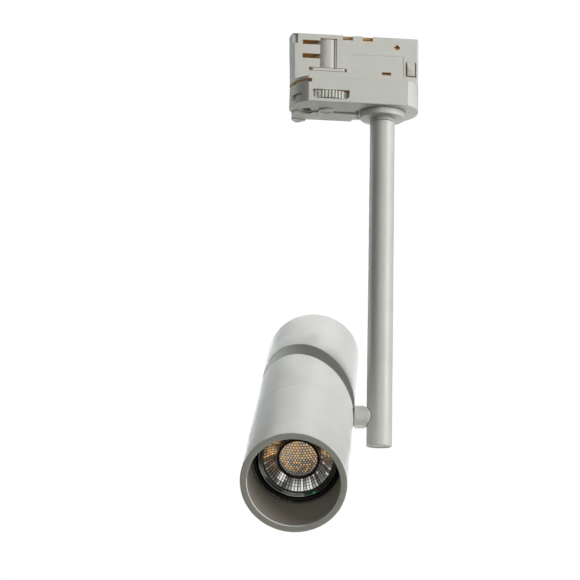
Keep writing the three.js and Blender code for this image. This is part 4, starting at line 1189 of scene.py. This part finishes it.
def build_centre_lens(rng):
    """Domed optic with hexagonally packed dimples; amber dots of painted light sit in them."""
    pitch, ring_count, segments, back_z = 1.78, 96, 216, 62.0
    nearest = dimple_finder(pitch, rng)
    verts, faces, tones, ambers = [], [], [], []

    def add_point(x, y):
        r = hypot(x, y)
        glow, d = nearest(x, y)
        q = min(1.0, d / (pitch * 0.5))     # 0 in a dimple's middle, 1 on its border
        fade = clamp((LENS_R - 0.25 - r) / 0.4)
        z = 67.4 + 3.6 * (1 - (r / LENS_R) ** 2) + 0.26 * (1 - q * q) * fade
        # amber, painted light: stronger upwards, with patches at the right and upper left, weak
        # at the rim
        warmth = (0.54 + 0.50 * (y / LENS_R)
                  + 0.22 * exp(-((x - 8.5) ** 2 + (y - 2.5) ** 2) / 18)
                  + 0.18 * exp(-((x + 5.5) ** 2 + (y - 8) ** 2) / 14))
        warmth -= 0.30 * max(0.0, (r / LENS_R) - 0.72) / 0.28
        strength = clamp((warmth + 0.85 * (glow - 0.5)) * 1.15)
        dot = 1 / (1 + exp((d - (0.30 + 0.24 * glow)) * 18))
        ambers.append(clamp(strength * dot * 1.5) if r < LENS_R - 0.3 else 0.0)
        # tone, painted light: brighter above and left, a painted highlight ring in each dimple, a
        # dark line of painted shade between
        tones.append(clamp(
            0.50 + 0.20 * clamp((y + 3) / 8) + 0.18 * (1 - q) + 0.16 * clamp((-x + 1) / 7)
            + 0.50 * max(0.0, 1 - abs(q - 0.66) / 0.16) * (0.4 + 0.6 * glow)
            - 0.70 * max(0.0, (q - 0.78) / 0.22) + 0.10 * (y > 0) - 0.10 * (y < -5)))
        verts.append((x, y, z))

    def add_back_point(x, y):
        verts.append((x, y, back_z))
        tones.append(0.2)
        ambers.append(0.0)

    turns = [2 * pi * k / segments for k in range(segments)]
    add_point(0, 0)
    for i in range(1, ring_count + 1):
        r = LENS_R * i / ring_count
        for turn in turns:
            add_point(r * cos(turn), r * sin(turn))
    for turn in turns:
        add_back_point(LENS_R * cos(turn), LENS_R * sin(turn))
    add_back_point(0, 0)
    for k in range(segments):
        faces.append([0, 1 + k, 1 + (k + 1) % segments])
    for i in range(ring_count):         # the last band is the side wall
        inner, outer = 1 + i * segments, 1 + (i + 1) * segments
        for k in range(segments):
            after = (k + 1) % segments
            faces.append([inner + k, outer + k, outer + after, inner + after])
    back = 1 + ring_count * segments
    for k in range(segments):
        faces.append([back + k, len(verts) - 1, back + (k + 1) % segments])
    part = mesh_object("centre_lens_dimpled", verts, faces)
    attribute(part, "tone", tones)
    attribute(part, "amber", ambers)
    bm = bmesh.new()
    bm.from_mesh(part.data)
    bmesh.ops.recalc_face_normals(bm, faces=bm.faces)
    bm.to_mesh(part.data)
    bm.free()
    place(part, OPTIC_SEAT, "lamp", "centre_lens", OPTIC,
          smooth=40, weighted=False)


def build_lamp_rim(rng):
    """Clear outer rim with fine concentric ridges and a few green glints."""
    ridges = [(24.3 - q * 0.215, 73.95 - 0.012 * q - (0.0, 0.10, 0.22, 0.10)[q % 4], 0)
              for q in range(13)]
    part = lathe("lamp_rim_clear", fillet(
        [(22.9, 69.3, 0), (24.2, 69.3, 0.2), (25.0, 70.3, 0.4), (25.0, 73.4, 0.5)] + ridges
        + [(21.2, 72.2, 0.3), (22.9, 71.6, 0)], True, 4), 176)
    glints = ((277, 2.2, 0.55), (295, 2.8, 0.7), (285, 16, 0.10))   # angle, width, strength
    tones, greens = [], []
    for vertex in part.data.vertices:
        r, angle = polar(vertex.co)
        # painted highlights: two bright circles, a slow ripple and noise, fading away from the
        # lower left
        tone = (0.10 + 0.85 * exp(-((r - 23.95) / 0.24) ** 2)
                + 0.60 * exp(-((r - 22.15) / 0.20) ** 2)
                + 0.1 * sin(angle * 1.7 + r * 3) + rng.uniform(-0.12, 0.12))
        tone *= 0.25 + 1.0 * max(0.0, cos(radians((angle - 205) * 0.8)))
        tones.append(clamp(tone))
        green = 0.0
        if 22.9 < r < 24.1 and vertex.co.z > 73:
            green = max(s * exp(-((angle - c) / w) ** 2) for c, w, s in glints)
        greens.append(green)
    attribute(part, "tone", tones)
    attribute(part, "green", greens)
    place(part, LAMP_SEAT, "lamp", "lamp_rim", CLEAR_RIM, smooth=40)


lamp_rng = random.Random(7)
build_lamp_body()
build_led_board()
build_reflector(lamp_rng)
build_lens_ring()
build_centre_lens(lamp_rng)
build_lamp_rim(lamp_rng)

# ---------------------------------------------------------------- CAD pieces shown as they are
KEPT = {
    STEEL: "hollow_nipple wave_washer nipple_nut stem_thread_plug pivot_tube disc_spring "
           "pivot_nut body_screw_a body_screw_b rear_can_screw holder_bracket "
           "bracket_screw_a bracket_screw_b holder_screw_a holder_screw_b "
           "terminal_screw_1 terminal_screw_2 terminal_screw_3 lamp_pin_a lamp_pin_b",
    COPPER: "contact_blade_a contact_blade_b contact_blade_c contact_blade_d "
            "copper_strip_upper copper_strip_lower copper_strip_rear",
    CERAMIC: "terminal_block lamp_holder",
    CABLE: "lead_line lead_neutral lead_earth supply_cable holder_lead_a holder_lead_b",
    BLACK: "pivot_spacer",
}
for kept_material, kept_names in KEPT.items():
    for kept_name in kept_names.split():
        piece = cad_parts[kept_name]
        piece.data.materials.clear()
        piece.data.materials.append(kept_material)
        for material_slot in piece.material_slots:
            material_slot.material = kept_material


# ---------------------------------------------------------------- studio
def make_camera():
    """Returns the camera's forward and right directions in the row frame."""
    # The camera is given in a view frame turned about Z; its origin is shifted along the
    # adapter and in height. Lengths in mm, yaw, pitch and roll in radians.
    turn = radians(8.5485)
    origin = Vector((cos(turn), sin(turn), 0)) * -19.1138 + Vector((0, 0, 51.97))
    place_in_view = Vector((0, -1217.8497, -377.8854))
    yaw, pitch, roll = -0.04945143922868697, 0.20943295520295993, 0.02066813091757609
    to_row = Matrix.Rotation(-turn, 3, "Z")
    forward = Vector((sin(yaw) * cos(pitch), cos(yaw) * cos(pitch), sin(pitch)))
    level = Vector((cos(yaw), -sin(yaw), 0))
    upright = level.cross(forward)
    right = to_row @ (level * cos(roll) + upright * sin(roll))
    up = to_row @ (-level * sin(roll) + upright * cos(roll))
    forward = to_row @ forward
    position = to_row @ (place_in_view - origin) - Vector((0, 0, TOP))
    matrix = Matrix((right, up, -forward)).transposed().to_4x4()
    matrix.translation = [value / 1000 for value in position]

    data = bpy.data.cameras.new("camera")
    data.sensor_fit = "HORIZONTAL"
    data.sensor_width = 36.0
    data.lens = 116.24586207
    data.clip_start, data.clip_end = 0.01, 50
    camera = bpy.data.objects.new("camera", data)
    camera.matrix_world = matrix
    bpy.context.scene.collection.objects.link(camera)
    bpy.context.scene.camera = camera
    return forward, right


CAMERA_FORWARD, CAMERA_RIGHT = make_camera()


def direction(azimuth, elevation):
    """Azimuth: degrees to the right of the way back to the camera; elevation: above level."""
    away = Vector((CAMERA_FORWARD.x, CAMERA_FORWARD.y, 0)).normalized()
    side = Vector((CAMERA_RIGHT.x, CAMERA_RIGHT.y, 0)).normalized()
    level = -away * cos(radians(azimuth)) + side * sin(radians(azimuth))
    return level * cos(radians(elevation)) + Vector((0, 0, 1)) * sin(radians(elevation))


LIGHT_TARGET = Vector((0.0, 0.0, -0.20))
LIGHT_DISTANCE, LIGHT_SIZE = 2.2, 1.3
LIGHTS = [  # name, azimuth, elevation, power in watts, colour
    ("key_right", 60, 15, 43.4, (0.985, 0.985, 1.0)),
    ("back_level", 180, 15, 33.6, (0.95, 1.0, 0.97)),
    ("back_low", 180, -60, 26.2, (0.985, 1.0, 0.97)),
    ("back_high", 180, 45, 16.4, (1, 1, 1)),
    ("back_left", -120, 15, 14.6, (0.93, 0.98, 1.0)),
    ("low_right", 60, -20, 10.6, (1.0, 1.0, 0.86)),
    ("front_level", 0, 15, 9.4, (1.0, 1.0, 0.92)),
    ("low_left", -120, -20, 5.2, (1, 1, 1)),
    ("back_under", 180, -20, 3.0, (1, 1, 1)),
    ("low_back_right", 120, -20, 2.8, (1, 1, 1)),
]


def add_light(name, azimuth, elevation, power, colour):
    data = bpy.data.lights.new(name, "AREA")
    data.shape = "RECTANGLE"
    data.size = LIGHT_SIZE
    data.size_y = LIGHT_SIZE
    data.energy = power
    data.color = colour
    light = bpy.data.objects.new(name, data)
    towards = direction(azimuth, elevation).normalized()
    light.location = LIGHT_TARGET + towards * LIGHT_DISTANCE
    light.rotation_euler = (-towards).to_track_quat("-Z", "Y").to_euler()
    light.visible_camera = False
    bpy.context.scene.collection.objects.link(light)


def make_world():
    """White to the camera; for all other rays a grey gradient, set to strength 0."""
    world = bpy.data.worlds.new("studio")
    bpy.context.scene.world = world
    nodes = NodeTree(world)
    output = nodes.add("ShaderNodeOutputWorld")
    light_path = nodes.add("ShaderNodeLightPath")
    switch = nodes.add("ShaderNodeMixShader")
    seen = nodes.add("ShaderNodeBackground")
    seen.inputs["Color"].default_value = (1, 1, 1, 1)
    seen.inputs["Strength"].default_value = 1.02
    ambient = nodes.add("ShaderNodeBackground")
    ambient.inputs["Strength"].default_value = 0.0
    coords = nodes.add("ShaderNodeTexCoord")
    dot = nodes.add("ShaderNodeVectorMath", operation="DOT_PRODUCT")
    dot.inputs[1].default_value = tuple(direction(azimuth=80, elevation=10))
    nodes.feed(dot.inputs[0], coords.outputs["Generated"])
    factor = nodes.math("MULTIPLY_ADD", dot.outputs["Value"], 0.5, 0.5)
    grey = nodes.ramp(factor, [(0.0, (0.16, 0.17, 0.18)), (1.0, (0.62, 0.62, 0.60))])
    nodes.feed(ambient.inputs["Color"], grey)
    nodes.feed(switch.inputs[0], light_path.outputs["Is Camera Ray"])
    nodes.feed(switch.inputs[1], ambient.outputs[0])
    nodes.feed(switch.inputs[2], seen.outputs[0])
    nodes.feed(output.inputs[0], switch.outputs[0])


def make_floor():
    """Plain pale floor below the head."""
    half, z = 9, -0.62
    ground = mesh_object("floor", [
        (-half, -half, z), (half, -half, z), (half, half, z), (-half, half, z)], [[0, 1, 2, 3]])
    shader = Shader("pale_floor")
    base = shader.mottle(3.0, low=(0.050, 0.050, 0.049), high=(0.056, 0.056, 0.055))
    ground.data.materials.append(shader.set(
        Base_Color=base, Roughness=0.8, Emission_Color=(1.0, 1.0, 0.995),
        Emission_Strength=0.90))
    # the light from below reaches the object through the floor
    ground.visible_diffuse = False
    ground.visible_glossy = False
    ground.visible_transmission = False
    ground.visible_shadow = False


for light_row in LIGHTS:
    add_light(*light_row)
make_world()
make_floor()

view = bpy.context.scene.view_settings
view.view_transform = "Standard"
view.look = "None"
view.exposure = 0.0
view.gamma = 1.0

for unused in [mesh for mesh in bpy.data.meshes if mesh.users == 0]:
    bpy.data.meshes.remove(unused)
